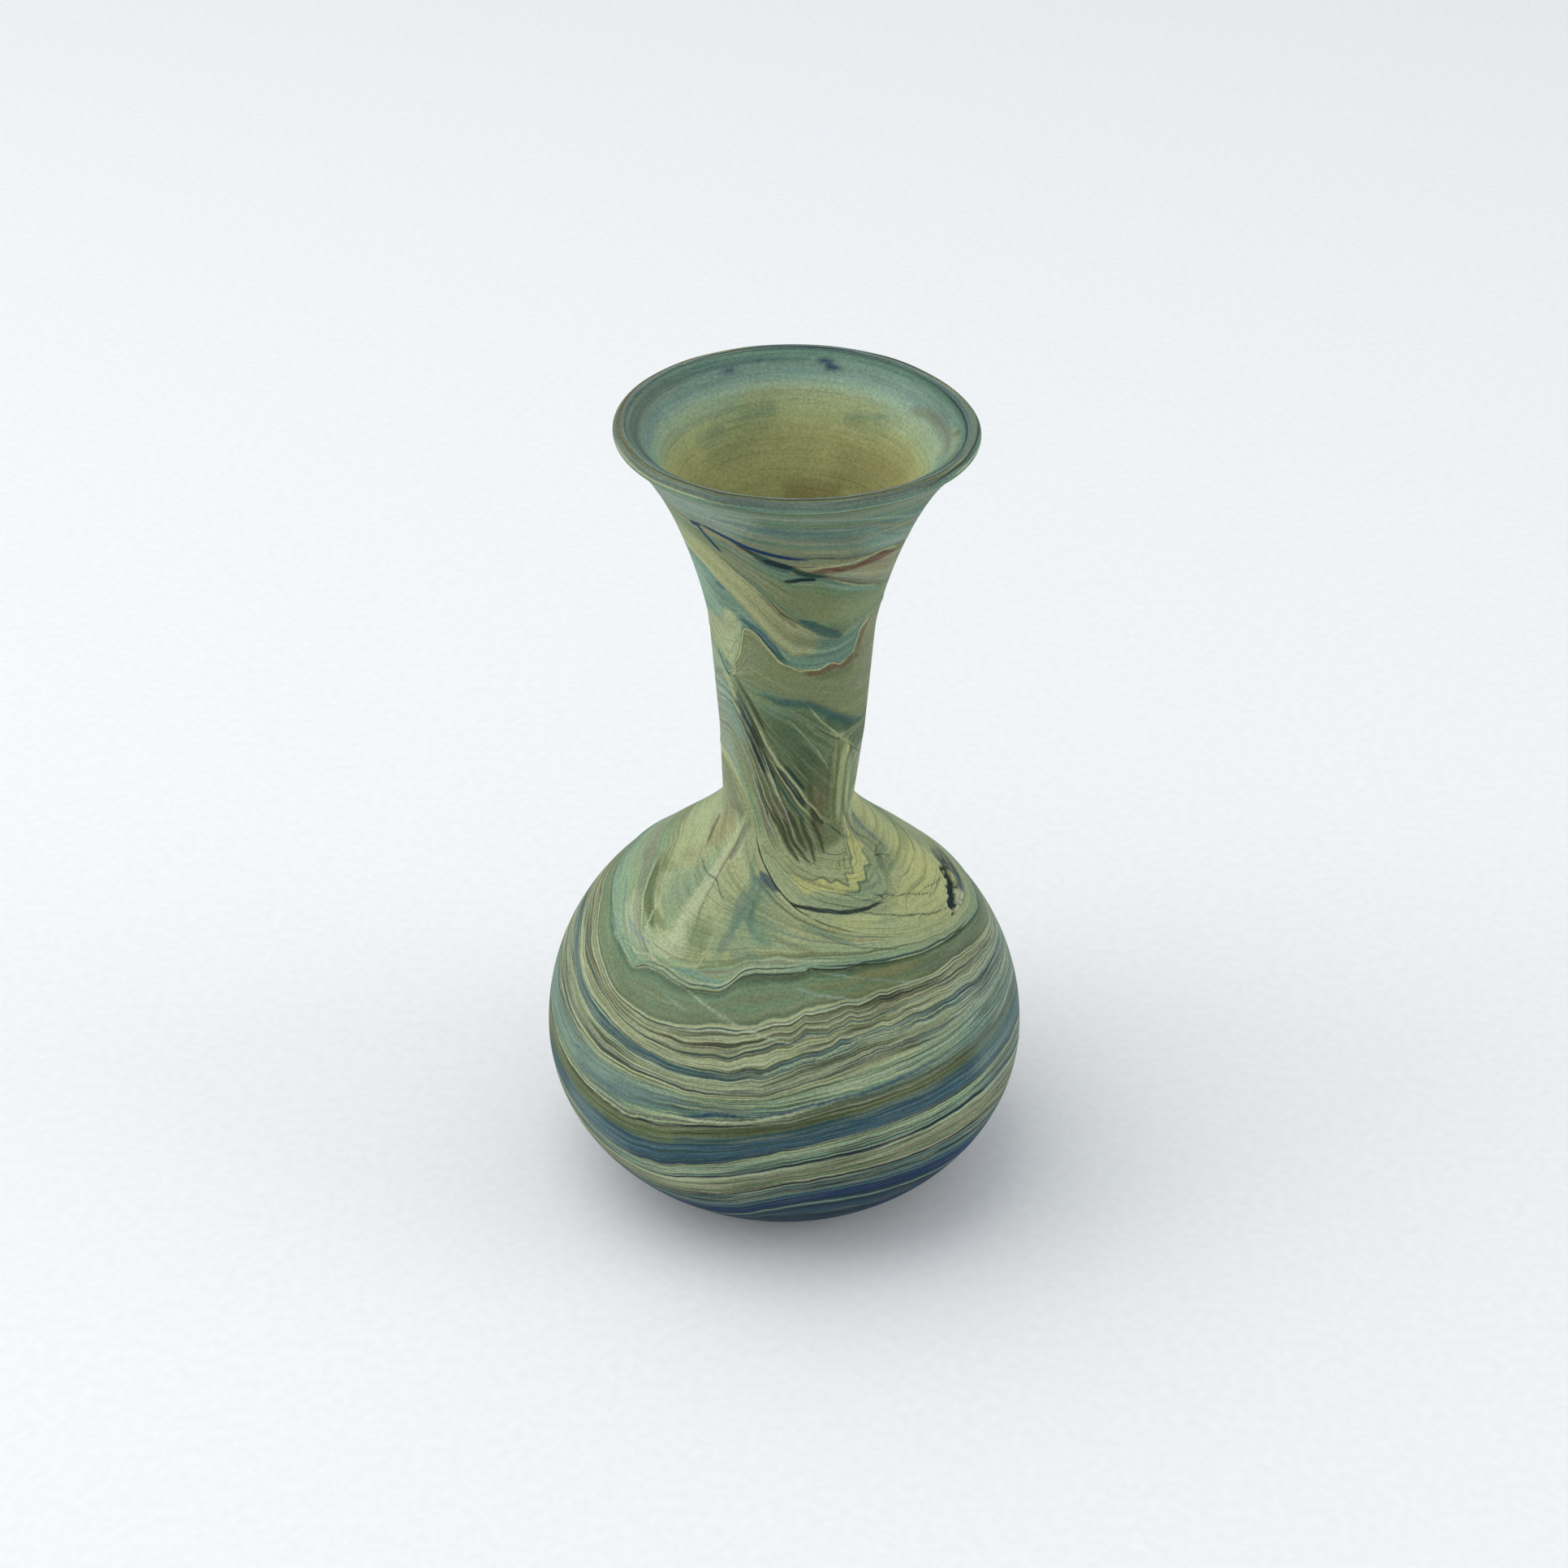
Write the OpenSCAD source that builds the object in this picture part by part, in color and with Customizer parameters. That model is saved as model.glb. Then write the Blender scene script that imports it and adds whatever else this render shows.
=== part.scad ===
// Hand blown glass vase: a squat round belly, a slim neck and a wide flared mouth.
// The maker blows one inner bubble and lays five wraps of coloured glass on it, hot,
// one above the other. A rounded thread closes the lip, and the rod that held the
// vessel while its mouth was opened leaves a small scar under the base.
// Each wrap meets its neighbours face to face, fused to them. Nothing moves.
// The axis of the vessel is Z, and it stands on the plane z = 0.

/* [Vessel] */
// Overall height
vase_h = 150; // [135:1:170]
// Widest diameter of the belly
belly_d = 86.6; // [80:0.2:94]
// Outside diameter of the waist, where the neck leaves the shoulder
waist_d = 23.2; // [21:0.2:26]
// Outside diameter of the neck where it starts to flare
neck_d = 28.4; // [26.5:0.1:32]
// Outside diameter of the mouth
mouth_d = 60.4; // [56:0.2:68]

/* [Base] */
// Outside diameter of the flat ring that it stands on
foot_d = 43; // [39:0.5:48]
// Inside diameter of the flat ring
foot_bore_d = 30; // [26:0.5:34]
// How far the middle of the base is pushed up
kick_h = 1.8; // [1.4:0.1:2.4]
// Diameter of the scar that the holding rod leaves
scar_d = 14; // [10:0.5:18]

/* [Glass] */
// Thickness of the inner bubble's wall
bubble_t = 1.4; // [1:0.1:1.8]
// Thickness of the coloured wraps
wrap_t = 1.8; // [1.4:0.1:2.2]
// Thickness of the rounded lip
lip_t = 2.5; // [2:0.1:3]

/* [Seams] */
// Height of the seam between the belly and the shoulder
shoulder_seam_z = 57; // [54:0.5:60]
// Height of the seam at the root of the neck
neck_seam_z = 72; // [69:0.5:75]
// Height of the seam half way up the neck
throat_seam_z = 112; // [106:0.5:118]
// Height of the seam under the flared mouth
collar_seam_z = 135; // [130:0.5:138]

/* [Hidden] */
$fn = 96;

// Heights that follow the overall height, which is 150 on the full size vase
k = vase_h / 150;
belly_z = 28.5 * k;
waist_z = 78.2 * k;
neck_z = 112 * k;

// Half widths
belly_r = belly_d / 2;
waist_r = waist_d / 2;
neck_r = neck_d / 2;
foot_r = foot_d / 2;
foot_bore_r = foot_bore_d / 2;
scar_r = scar_d / 2;
lip_r = lip_t / 2;

// The belly is two half ellipses that share the widest circle. The lower one is as
// deep as it must be to pass through the edge of the foot.
low_axis = belly_z / sqrt(1 - pow(foot_r / belly_r, 2));
high_axis = 41.1 * k;
// Where the shoulder leaves its ellipse and curves up into the neck
shoulder_a = 45.5;

// The mouth leans outwards by this angle from the vertical where it meets the lip
mouth_a = 51.6;
mouth_dir = [sin(mouth_a), cos(mouth_a)];
lip_centre = [mouth_d / 2 - lip_r, vase_h - lip_r];
lip_edge = lip_centre + lip_r * [mouth_dir.y, -mouth_dir.x];

// Thickness of the floor of the wraps and of the bubble, in the middle of the base
wrap_floor_z = kick_h + 1.8;
bubble_floor_z = wrap_floor_z + 2;
scar_t = 0.9;

colour_bubble = [0.50, 0.50, 0.34];
colour_belly = [0.42, 0.50, 0.44];
colour_shoulder = [0.58, 0.62, 0.45];
colour_neck = [0.45, 0.46, 0.33];
colour_throat = [0.40, 0.52, 0.42];
colour_collar = [0.40, 0.50, 0.47];
colour_lip = [0.33, 0.34, 0.28];
colour_scar = [0.36, 0.42, 0.40];

// Points along a cubic curve from a to d, without a itself
function curve(a, b, c, d, n) = [
    for (i = [1 : n])
        let (t = i / n, s = 1 - t)
            s * s * s * a + 3 * s * s * t * b + 3 * s * t * t * c + t * t * t * d
];

// Points along an ellipse about [0, z], from angle a0 to a1
function ellipse(r, h, z, a0, a1, n) = [
    for (i = [0 : n])
        let (a = a0 + (a1 - a0) * i / n)
            [r * cos(a), z + h * sin(a)]
];

function unit(v) = v / norm(v);
function reverse(list) = [for (i = [len(list) - 1 : -1 : 0]) list[i]];

// The outside of the vase from its widest circle up to the lip
shoulder = ellipse(belly_r, high_axis, belly_z, 0, shoulder_a, 12);
shoulder_end = shoulder[len(shoulder) - 1];
shoulder_dir = unit([-belly_r * sin(shoulder_a), high_axis * cos(shoulder_a)]);
waist = [waist_r, waist_z];
neck_top = [neck_r, neck_z];
neck_dir = unit(neck_top - waist);
side = concat(
    shoulder,
    curve(shoulder_end, shoulder_end + 12 * k * shoulder_dir,
          waist - 4.4 * k * neck_dir, waist, 12),
    curve(waist, waist + 11 * k * neck_dir,
          neck_top - 11 * k * neck_dir, neck_top, 3),
    curve(neck_top, neck_top + 5.7 * k * neck_dir,
          lip_edge - 11.7 * k * mouth_dir, lip_edge, 14)
);
last = len(side) - 1;

// Direction of the side at one of its points, and the share of the full thickness
// that the wall keeps there, since it thins towards the lip
function side_dir(i) =
    i == 0 ? [0, 1] : i == last ? mouth_dir : unit(side[i + 1] - side[i - 1]);
lip_share = lip_t / (bubble_t + wrap_t);
function share(i) = 1 + (lip_share - 1) * max(0, side[i].y - neck_z) / (vase_h - neck_z);

// A surface inside the glass: round from the middle of the floor to the widest
// circle, then t below the outside, up to the lip
function inside(t, floor_z) = concat(
    ellipse(belly_r - t, belly_z - floor_z, belly_z, -90, -6, 14),
    [for (i = [0 : last])
        let (d = side_dir(i))
            side[i] + (i == last ? lip_share : share(i)) * t * [-d.y, d.x]]
);

// The whole outside: the pushed up middle, the flat foot, the belly and the side
outside = concat(
    [[0, kick_h], [scar_r + 0.5, kick_h]],
    curve([scar_r + 0.5, kick_h], [foot_bore_r - 3.5, kick_h],
          [foot_bore_r - 2, 0], [foot_bore_r, 0], 6),
    ellipse(belly_r, low_axis, belly_z, -asin(belly_z / low_axis), -6, 12),
    side
);

module wall(outer, inner) {
    rotate_extrude() polygon(concat(outer, reverse(inner)));
}

// The part of the wraps between two heights
module wrap(low_z, high_z) {
    intersection() {
        wall(outside, inside(wrap_t, wrap_floor_z));
        translate([0, 0, low_z])
            cylinder(h = high_z - low_z, r = belly_d);
    }
}

module inner_bubble() {
    color(colour_bubble)
        wall(inside(wrap_t, wrap_floor_z), inside(wrap_t + bubble_t, bubble_floor_z));
}

module belly_wrap() {
    color(colour_belly) wrap(0, shoulder_seam_z);
}

module shoulder_wrap() {
    color(colour_shoulder) wrap(shoulder_seam_z, neck_seam_z);
}

module neck_wrap() {
    color(colour_neck) wrap(neck_seam_z, throat_seam_z);
}

module throat_wrap() {
    color(colour_throat) wrap(throat_seam_z, collar_seam_z);
}

module collar_wrap() {
    color(colour_collar) wrap(collar_seam_z, vase_h);
}

// A thread of glass that sits on the end of the wall and rounds it off
module lip_thread() {
    color(colour_lip)
        rotate_extrude()
            translate(lip_centre)
                polygon([
                    for (i = [0 : 16])
                        let (a = -mouth_a + 180 * i / 16)
                            lip_r * [cos(a), sin(a)]
                ]);
}

// A rough button of glass inside the foot ring, hollowed where the rod broke off
module base_scar() {
    color(colour_scar)
        rotate_extrude()
            polygon([
                [0, kick_h],
                [0, kick_h - 0.3],
                [scar_r * 0.35, kick_h - 0.35],
                [scar_r * 0.6, kick_h - scar_t],
                [scar_r * 0.85, kick_h - scar_t],
                [scar_r, kick_h - 0.4],
                [scar_r, kick_h]
            ]);
}

inner_bubble();
belly_wrap();
shoulder_wrap();
neck_wrap();
throat_wrap();
collar_wrap();
lip_thread();
base_scar();
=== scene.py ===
"""The looks of a hand blown glass vase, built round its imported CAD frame.

Every place on the outside of the vase is named by two numbers: the angle round the axis in degrees,
0 at the front (-Y) and 90 at the right (+X), and the height in millimetres. The seams between the
wraps of glass, the bands of the marbling and the single threads are all lists of such places.
"""

import bpy
import numpy as np
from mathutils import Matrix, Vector


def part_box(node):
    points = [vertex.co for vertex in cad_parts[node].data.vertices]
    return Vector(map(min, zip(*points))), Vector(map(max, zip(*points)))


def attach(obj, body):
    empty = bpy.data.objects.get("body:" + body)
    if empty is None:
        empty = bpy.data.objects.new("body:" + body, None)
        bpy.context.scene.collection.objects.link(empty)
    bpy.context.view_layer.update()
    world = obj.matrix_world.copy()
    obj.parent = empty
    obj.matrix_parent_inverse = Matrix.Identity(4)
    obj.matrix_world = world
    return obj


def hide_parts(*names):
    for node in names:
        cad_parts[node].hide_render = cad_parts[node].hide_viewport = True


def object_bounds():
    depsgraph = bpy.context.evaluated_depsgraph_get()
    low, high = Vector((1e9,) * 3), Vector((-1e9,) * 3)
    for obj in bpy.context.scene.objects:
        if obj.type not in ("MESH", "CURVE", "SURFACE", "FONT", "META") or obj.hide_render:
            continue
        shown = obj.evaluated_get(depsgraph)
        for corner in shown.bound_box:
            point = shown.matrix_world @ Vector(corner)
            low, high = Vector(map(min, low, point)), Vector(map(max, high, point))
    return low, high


MM = 0.001
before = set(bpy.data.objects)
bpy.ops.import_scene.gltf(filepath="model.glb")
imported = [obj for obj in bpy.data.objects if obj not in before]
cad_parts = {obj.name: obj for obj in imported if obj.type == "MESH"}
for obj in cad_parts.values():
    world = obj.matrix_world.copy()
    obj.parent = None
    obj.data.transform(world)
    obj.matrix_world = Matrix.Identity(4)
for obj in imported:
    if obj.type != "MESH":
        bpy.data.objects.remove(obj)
cad_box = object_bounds()

# ---------------------------------------------------------------- camera

CAMERA_DISTANCE = 569.5 * MM
CAMERA_TILT = np.radians(32.9)
CAMERA_AIM = 79.2 * MM
CAMERA_LENS = 74.5


def add_camera():
    """The camera stands in front of the vase and looks down at it, as in the photograph."""
    data = bpy.data.cameras.new("camera")
    data.lens = CAMERA_LENS
    data.sensor_width = 36
    data.clip_start = 0.01
    camera = bpy.data.objects.new("camera", data)
    back = -CAMERA_DISTANCE * np.cos(CAMERA_TILT)
    up = CAMERA_AIM + CAMERA_DISTANCE * np.sin(CAMERA_TILT)
    camera.location = (0, back, up)
    camera.rotation_euler = (np.pi / 2 - CAMERA_TILT, 0, 0)
    bpy.context.scene.collection.objects.link(camera)
    bpy.context.scene.camera = camera


add_camera()

# ---------------------------------------------------------------- the vase's outline, in mm

HEIGHT = cad_box[1][2] / MM
BELLY_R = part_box("belly_wrap")[1].x / MM
MOUTH_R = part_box("lip_thread")[1].x / MM
SCALE = HEIGHT / 150
BELLY_Z = 28.5 * SCALE
BELLY_UP = 41.1 * SCALE
SHOULDER_END = 45.5
# the foot ring's outer and inner radius, and how far the base is pushed up inside it
FOOT_R = 21.5
FOOT_BORE_R = 15
KICK = 1.8
WAIST = np.array([11.6, 78.2 * SCALE])
NECK_TOP = np.array([14.2, 112 * SCALE])
LIP_R = 1.25
MOUTH_LEAN = np.radians(51.6)
# how far the handles of the curves reach: shoulder to waist, and neck to lip
SHOULDER_PULL = 12
WAIST_PULL = 4.4
NECK_PULL = 5.7
MOUTH_PULL = 11.7
# thickness of one wrap, and of the whole wall
WRAP_T = 1.8
WALL_T = 3.2


def bezier(a, b, c, d, count):
    """A curve from a to d with b and c as its handles, without its first point."""
    t = np.linspace(0, 1, count)[1:, None]
    s = 1 - t
    return s**3 * a + 3 * s * s * t * b + 3 * s * t * t * c + t**3 * d


def ellipse(radius, up, low, high, count):
    """An arc about the middle of the belly, from low to high degrees."""
    a = np.radians(np.linspace(low, high, count))
    return np.stack([radius * np.cos(a), BELLY_Z + up * np.sin(a)], 1)


def unit(v):
    return v / np.linalg.norm(v)


def eased(t):
    """From 0 to 1 with a soft start and a soft end."""
    return t * t * (3 - 2 * t)


def hump(off, width):
    """1 where off is 0, and less the farther off is from it."""
    return np.exp(-((off / width) ** 2))


def build_outline():
    """Radius and height of the outside, from the middle of the base to the lip, every 0.1 mm."""
    belly_down = BELLY_Z / np.sqrt(1 - (FOOT_R / BELLY_R) ** 2)
    foot_a = -np.degrees(np.arcsin(BELLY_Z / belly_down))
    shoulder_a = np.radians(SHOULDER_END)
    shoulder = ellipse(BELLY_R, BELLY_UP, 0, SHOULDER_END, 80)
    leave = unit(np.array([-BELLY_R * np.sin(shoulder_a), BELLY_UP * np.cos(shoulder_a)]))
    neck_dir = unit(NECK_TOP - WAIST)
    mouth_dir = np.array([np.sin(MOUTH_LEAN), np.cos(MOUTH_LEAN)])
    lip_centre = np.array([MOUTH_R - LIP_R, HEIGHT - LIP_R])
    lip_edge = lip_centre + LIP_R * np.array([mouth_dir[1], -mouth_dir[0]])
    kick = np.array([FOOT_BORE_R - 7, KICK])
    parts = [
        np.array([[0.01, KICK]]),
        np.linspace([0.5, KICK], kick, 20),
        bezier(kick, kick + [4, 0], [FOOT_BORE_R - 2, 0], np.array([FOOT_BORE_R, 0]), 30),
        np.linspace([FOOT_BORE_R + 0.5, 0], [FOOT_R, 0], 15),
        ellipse(BELLY_R, belly_down, foot_a, 0, 80)[1:],
        shoulder[1:],
        bezier(shoulder[-1], shoulder[-1] + SHOULDER_PULL * leave, WAIST - WAIST_PULL * neck_dir, WAIST, 60),
        np.linspace(WAIST, NECK_TOP, 40)[1:],
        bezier(NECK_TOP, NECK_TOP + NECK_PULL * neck_dir, lip_edge - MOUTH_PULL * mouth_dir, lip_edge, 80),
    ]
    points = np.concatenate(parts)
    steps = np.linalg.norm(np.diff(points, axis=0), axis=1)
    run = np.concatenate([[0], np.cumsum(steps)])
    even = np.arange(0, run[-1], 0.1)
    even[-1] = run[-1]
    r = np.interp(even, run, points[:, 0])
    z = np.interp(even, run, points[:, 1])
    return even, r, z


def softened(values, span):
    """A running mean over span samples that keeps both ends."""
    padded = np.concatenate([np.full(span, values[0]), values, np.full(span, values[-1])])
    mean = np.convolve(padded, np.ones(span) / span, "same")
    return mean[span:-span]


RUN, OUT_R, OUT_Z = build_outline()
FOOT_RUN = RUN[np.argmax((OUT_Z < 0.001) & (OUT_R > FOOT_R - 0.2))]
FOOT_CORNER = hump(RUN - FOOT_RUN, 3)
OUT_Z = OUT_Z + FOOT_CORNER * (np.maximum(softened(OUT_Z, 25), 0) - OUT_Z)
NORMAL_R = softened(np.gradient(OUT_Z), 9)
NORMAL_Z = softened(-np.gradient(OUT_R), 9)
NORMAL_SIZE = np.hypot(NORMAL_R, NORMAL_Z)
NORMAL_R = NORMAL_R / NORMAL_SIZE
NORMAL_Z = NORMAL_Z / NORMAL_SIZE
RUN_END = RUN[-1]
SIDE = RUN > FOOT_RUN


def run_at(height):
    """How far along the outline, from the middle of the base, a height on the side lies."""
    return np.interp(height, OUT_Z[SIDE], RUN[SIDE])


def height_at(run):
    """The height of the place that lies this far along the outline."""
    return np.interp(run, RUN, OUT_Z)


def thinning(run):
    """The share of its full thickness that the wall keeps, from 1 in the neck to less at the lip."""
    up = np.clip((height_at(run) - NECK_TOP[1]) / (HEIGHT - NECK_TOP[1]), 0, 1)
    return 1 + (2 * LIP_R / WALL_T - 1) * up


# ---------------------------------------------------------------- hand made unevenness

RANDOM = np.random.default_rng(7)
LATTICE = RANDOM.random((32, 32, 32))


def lattice_noise(points, size, seed=0):
    """Smooth noise between -1 and 1 at points in mm, with lumps of about size mm."""
    p = points / size + np.array([17.3, 5.1, 9.7]) * (seed + 1)
    cell = np.floor(p).astype(int)
    f = eased(p - cell)
    total = 0
    for corner in range(8):
        step = np.array([corner & 1, corner >> 1 & 1, corner >> 2 & 1])
        i, j, k = ((cell + step) % 32).T
        weight = np.prod(np.where(step == 1, f, 1 - f), axis=1)
        total = total + weight * LATTICE[i, j, k]
    return total * 2 - 1


def lean(height):
    """The neck stands 1.4 mm to the right of the belly, and the mouth 0.6 mm more."""
    neck = np.clip((height - 62) / 30, 0, 1)
    mouth = np.clip((height - 110) / 40, 0, 1)
    return 1.4 * neck + 0.6 * mouth


def place(angle, run, depth):
    """Points in mm at angle (degrees) and run (mm), depth mm under the outside."""
    a = np.radians(angle)
    height = height_at(run)
    r = np.interp(run, RUN, OUT_R)
    # a blown belly is never quite round, and the mouth was opened by eye
    wobble = 0.16 * np.sin(2 * a + 0.6) + 0.1 * np.sin(3 * a + 1.9)
    r = r + wobble * np.clip(height / 30, 0, 1)
    r = r - depth * np.interp(run, RUN, NORMAL_R)
    z = height - depth * np.interp(run, RUN, NORMAL_Z)
    # the rim stands 1.1 mm high at the front and hangs 1.4 mm at the right
    rim = np.clip((height - 122) / 28, 0, 1) ** 2
    z = z + rim * 1.1 * hump(wrapped(angle), 62)
    z = z - rim * 1.4 * hump(wrapped(angle - 95), 45)
    x = r * np.sin(a) + lean(height)
    y = -r * np.cos(a)
    return np.stack([x, y, z], -1)


def wrapped(angle):
    """The same angle between -180 and 180."""
    return (np.asarray(angle, float) + 180) % 360 - 180


# ---------------------------------------------------------------- seams between the wraps

BELLY_SEAM = [
    (-90, 57.5), (-80, 57.1), (-75, 56.6), (-70, 56), (-65, 55.7), (-60, 55.2), (-55, 54.8), (-52, 54.6),
    (-50.5, 55), (-49, 55.6), (-45, 55.9), (-41, 56.1), (-35, 55.7), (-30, 55.5), (-25, 55.9), (-20, 56.2),
    (-18, 56.8), (-16, 57.8), (-14, 58.5), (-10, 59.1), (0, 59.3), (7, 59.4), (9, 59.8), (15, 59.4),
    (21, 59.1), (28, 59), (35, 58.4), (42, 57.8), (50, 57.1), (60, 56.3), (70, 55.5), (80, 54.3),
    (90, 52.9),
]
ROOT_SEAM = [
    (-90, 88), (-75, 89), (-62, 88.8), (-55, 87.8), (-50, 86.8), (-45, 85.3), (-40, 83.2), (-35, 80.6),
    (-30, 77.5), (-25, 75), (-20, 73.3), (-15, 72), (-10, 70.6), (-5, 69.2), (0, 68), (5, 66.8), (10, 65.8),
    (20, 64.1), (30, 62.6), (45, 60.6), (60, 58.7), (75, 56.9), (90, 55.8),
]
THROAT_SEAM = [
    (-90, 112.5), (-75, 111.8), (-65, 110.6), (-60, 109.5), (-55, 107.8), (-52, 107), (-49, 107.4),
    (-46, 107.9), (-44.5, 109), (-44, 110.2), (-41, 111.5), (-39, 112.6), (-37, 114.5), (-34, 117.6),
    (-32.5, 118.5), (-29, 118.6), (-25, 118.1), (-21, 117.2), (-18, 116), (-15, 115), (-12, 113.9),
    (-9, 112.9), (-5, 112.2), (0, 111.8), (3, 111.3), (6, 111), (10, 111.2), (14, 111), (18, 110.9),
    (21, 111.2), (24, 111.6), (28, 111.8), (31, 111.4), (34, 111), (38, 111.4), (44, 112), (45.5, 113.2),
    (46.5, 114.5), (47.5, 116.4), (49, 117.1), (53, 117.7), (57, 118.1), (62, 118.4), (70, 118.5),
    (80, 118), (90, 117),
]
COLLAR_SEAM = [
    (-90, 141.5), (-60, 141), (-46, 140), (-40, 140.2), (-35, 139.9), (-30, 139.2), (-25, 138.4),
    (-20, 137.7), (-15, 137.1), (-10, 136.7), (0, 136.1), (10, 135.7), (20, 135), (25, 134.8), (33, 134.8),
    (45, 134.5), (55, 133.4), (65, 132.3), (80, 130.8), (90, 130.5),
]


def round_the_back(points):
    """Joins the two ends of a line that covers the front half, behind the vase."""
    angles, heights = np.array(points, float).T
    back = np.arange(100, 261, 10)
    t = (back - 90) / 180
    wave = 0.9 * np.sin(np.pi * t) * np.sin(np.radians(back) * 3.1)
    behind = heights[-1] + (heights[0] - heights[-1]) * eased(t) + wave
    return np.concatenate([angles, back]), np.concatenate([heights, behind])


def line_at(points, angle):
    """Height of a line that runs right round the vase, at any angle."""
    angles, heights = round_the_back(points)
    return np.interp(np.asarray(angle, float), angles, heights, period=360)


def beside(seam, first, last, step, rise):
    """Places along a seam, rise mm above it, at every step degrees."""
    return [(a, line_at(seam, a) + rise) for a in range(first, last, step)]


# ---------------------------------------------------------------- colours

def linear(red, green, blue):
    """A colour named as it looks on a screen, 0 to 255, in linear light."""
    c = np.array([red, green, blue]) / 255
    return np.where(c < 0.04045, c / 12.92, ((c + 0.055) / 1.055) ** 2.4)


GLASS = {
    "cream": (162, 168, 124),
    "pale": (172, 180, 146),
    "butter": (148, 152, 108),
    "ochre": (138, 136, 98),
    "gold": (130, 124, 82),
    "tan": (124, 130, 106),
    "fawn": (126, 122, 104),
    "olive": (112, 122, 86),
    "moss": (90, 102, 68),
    "umber": (58, 64, 42),
    "brown": (96, 84, 64),
    "rust": (92, 64, 48),
    "clay": (114, 108, 84),
    "plum": (80, 88, 84),
    "slate": (88, 110, 106),
    "blue": (68, 98, 108),
    "sky": (112, 136, 134),
    "steel": (58, 92, 106),
    "navy": (24, 50, 84),
    "deep_navy": (14, 40, 78),
    "ink": (22, 40, 44),
    "teal": (92, 124, 108),
    "deep_teal": (50, 80, 76),
    "pine": (28, 56, 46),
    "forest": (78, 98, 72),
    "green": (100, 124, 92),
    "leaf": (136, 158, 122),
    "pear": (162, 170, 126),
    "straw": (184, 186, 122),
    "sage": (130, 148, 116),
    "fern": (148, 158, 116),
    "mist": (138, 158, 142),
    "sea": (116, 146, 130),
    "lip_brown": (98, 104, 86),
    "flange": (100, 118, 104),
    # The inside colours below are the glass's own, painted lighter as painted glow of the light that comes
    # through the thin walls.
    "glowing_inside_teal": (116, 142, 124),
    "glowing_inside_blue": (122, 152, 142),
    "glowing_inside_sea": (148, 172, 148),
    "glowing_inside_pear": (166, 174, 124),
    "glowing_inside_pale": (156, 174, 140),
    "glowing_inside_gold": (170, 170, 116),
    "glowing_inside_rust": (126, 112, 66),
    "night": (22, 38, 46),
    "dusk": (28, 56, 72),
    "deep": (12, 34, 50),
    "dusk_blue": (42, 68, 80),
    "dusk_teal": (46, 72, 72),
    "bark": (36, 42, 34),
}
GLASS = {name: linear(*c) for name, c in GLASS.items()}


def colour(name):
    """A colour for a shader socket."""
    return (*GLASS[name], 1)


# ---------------------------------------------------------------- painting threads and patches

def smooth_line(points, parts=5):
    """The same line with rounded corners."""
    p = np.array(points, float)
    if len(p) < 3:
        return p
    ends = np.concatenate([[2 * p[0] - p[1]], p, [2 * p[-1] - p[-2]]])
    out = []
    for i in range(1, len(ends) - 2):
        a, b, c, d = ends[i - 1 : i + 3]
        for t in np.arange(parts) / parts:
            out.append(0.5 * (2 * b + (c - a) * t + (2 * a - 5 * b + 4 * c - d) * t * t
                              + (3 * b - a - 3 * c + d) * t**3))
    out.append(p[-1])
    return np.array(out)


# the soft edges of all threads are narrowed by this
CRISP = 0.6
# A patch that starts in front of the sides and ends at them is taken on behind the vase, and fades.
FRONT = 76
AT_SIDE = 87
TAKEN_TO = 125
FADED_AT = 122
FADE_SPAN = 28


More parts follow.
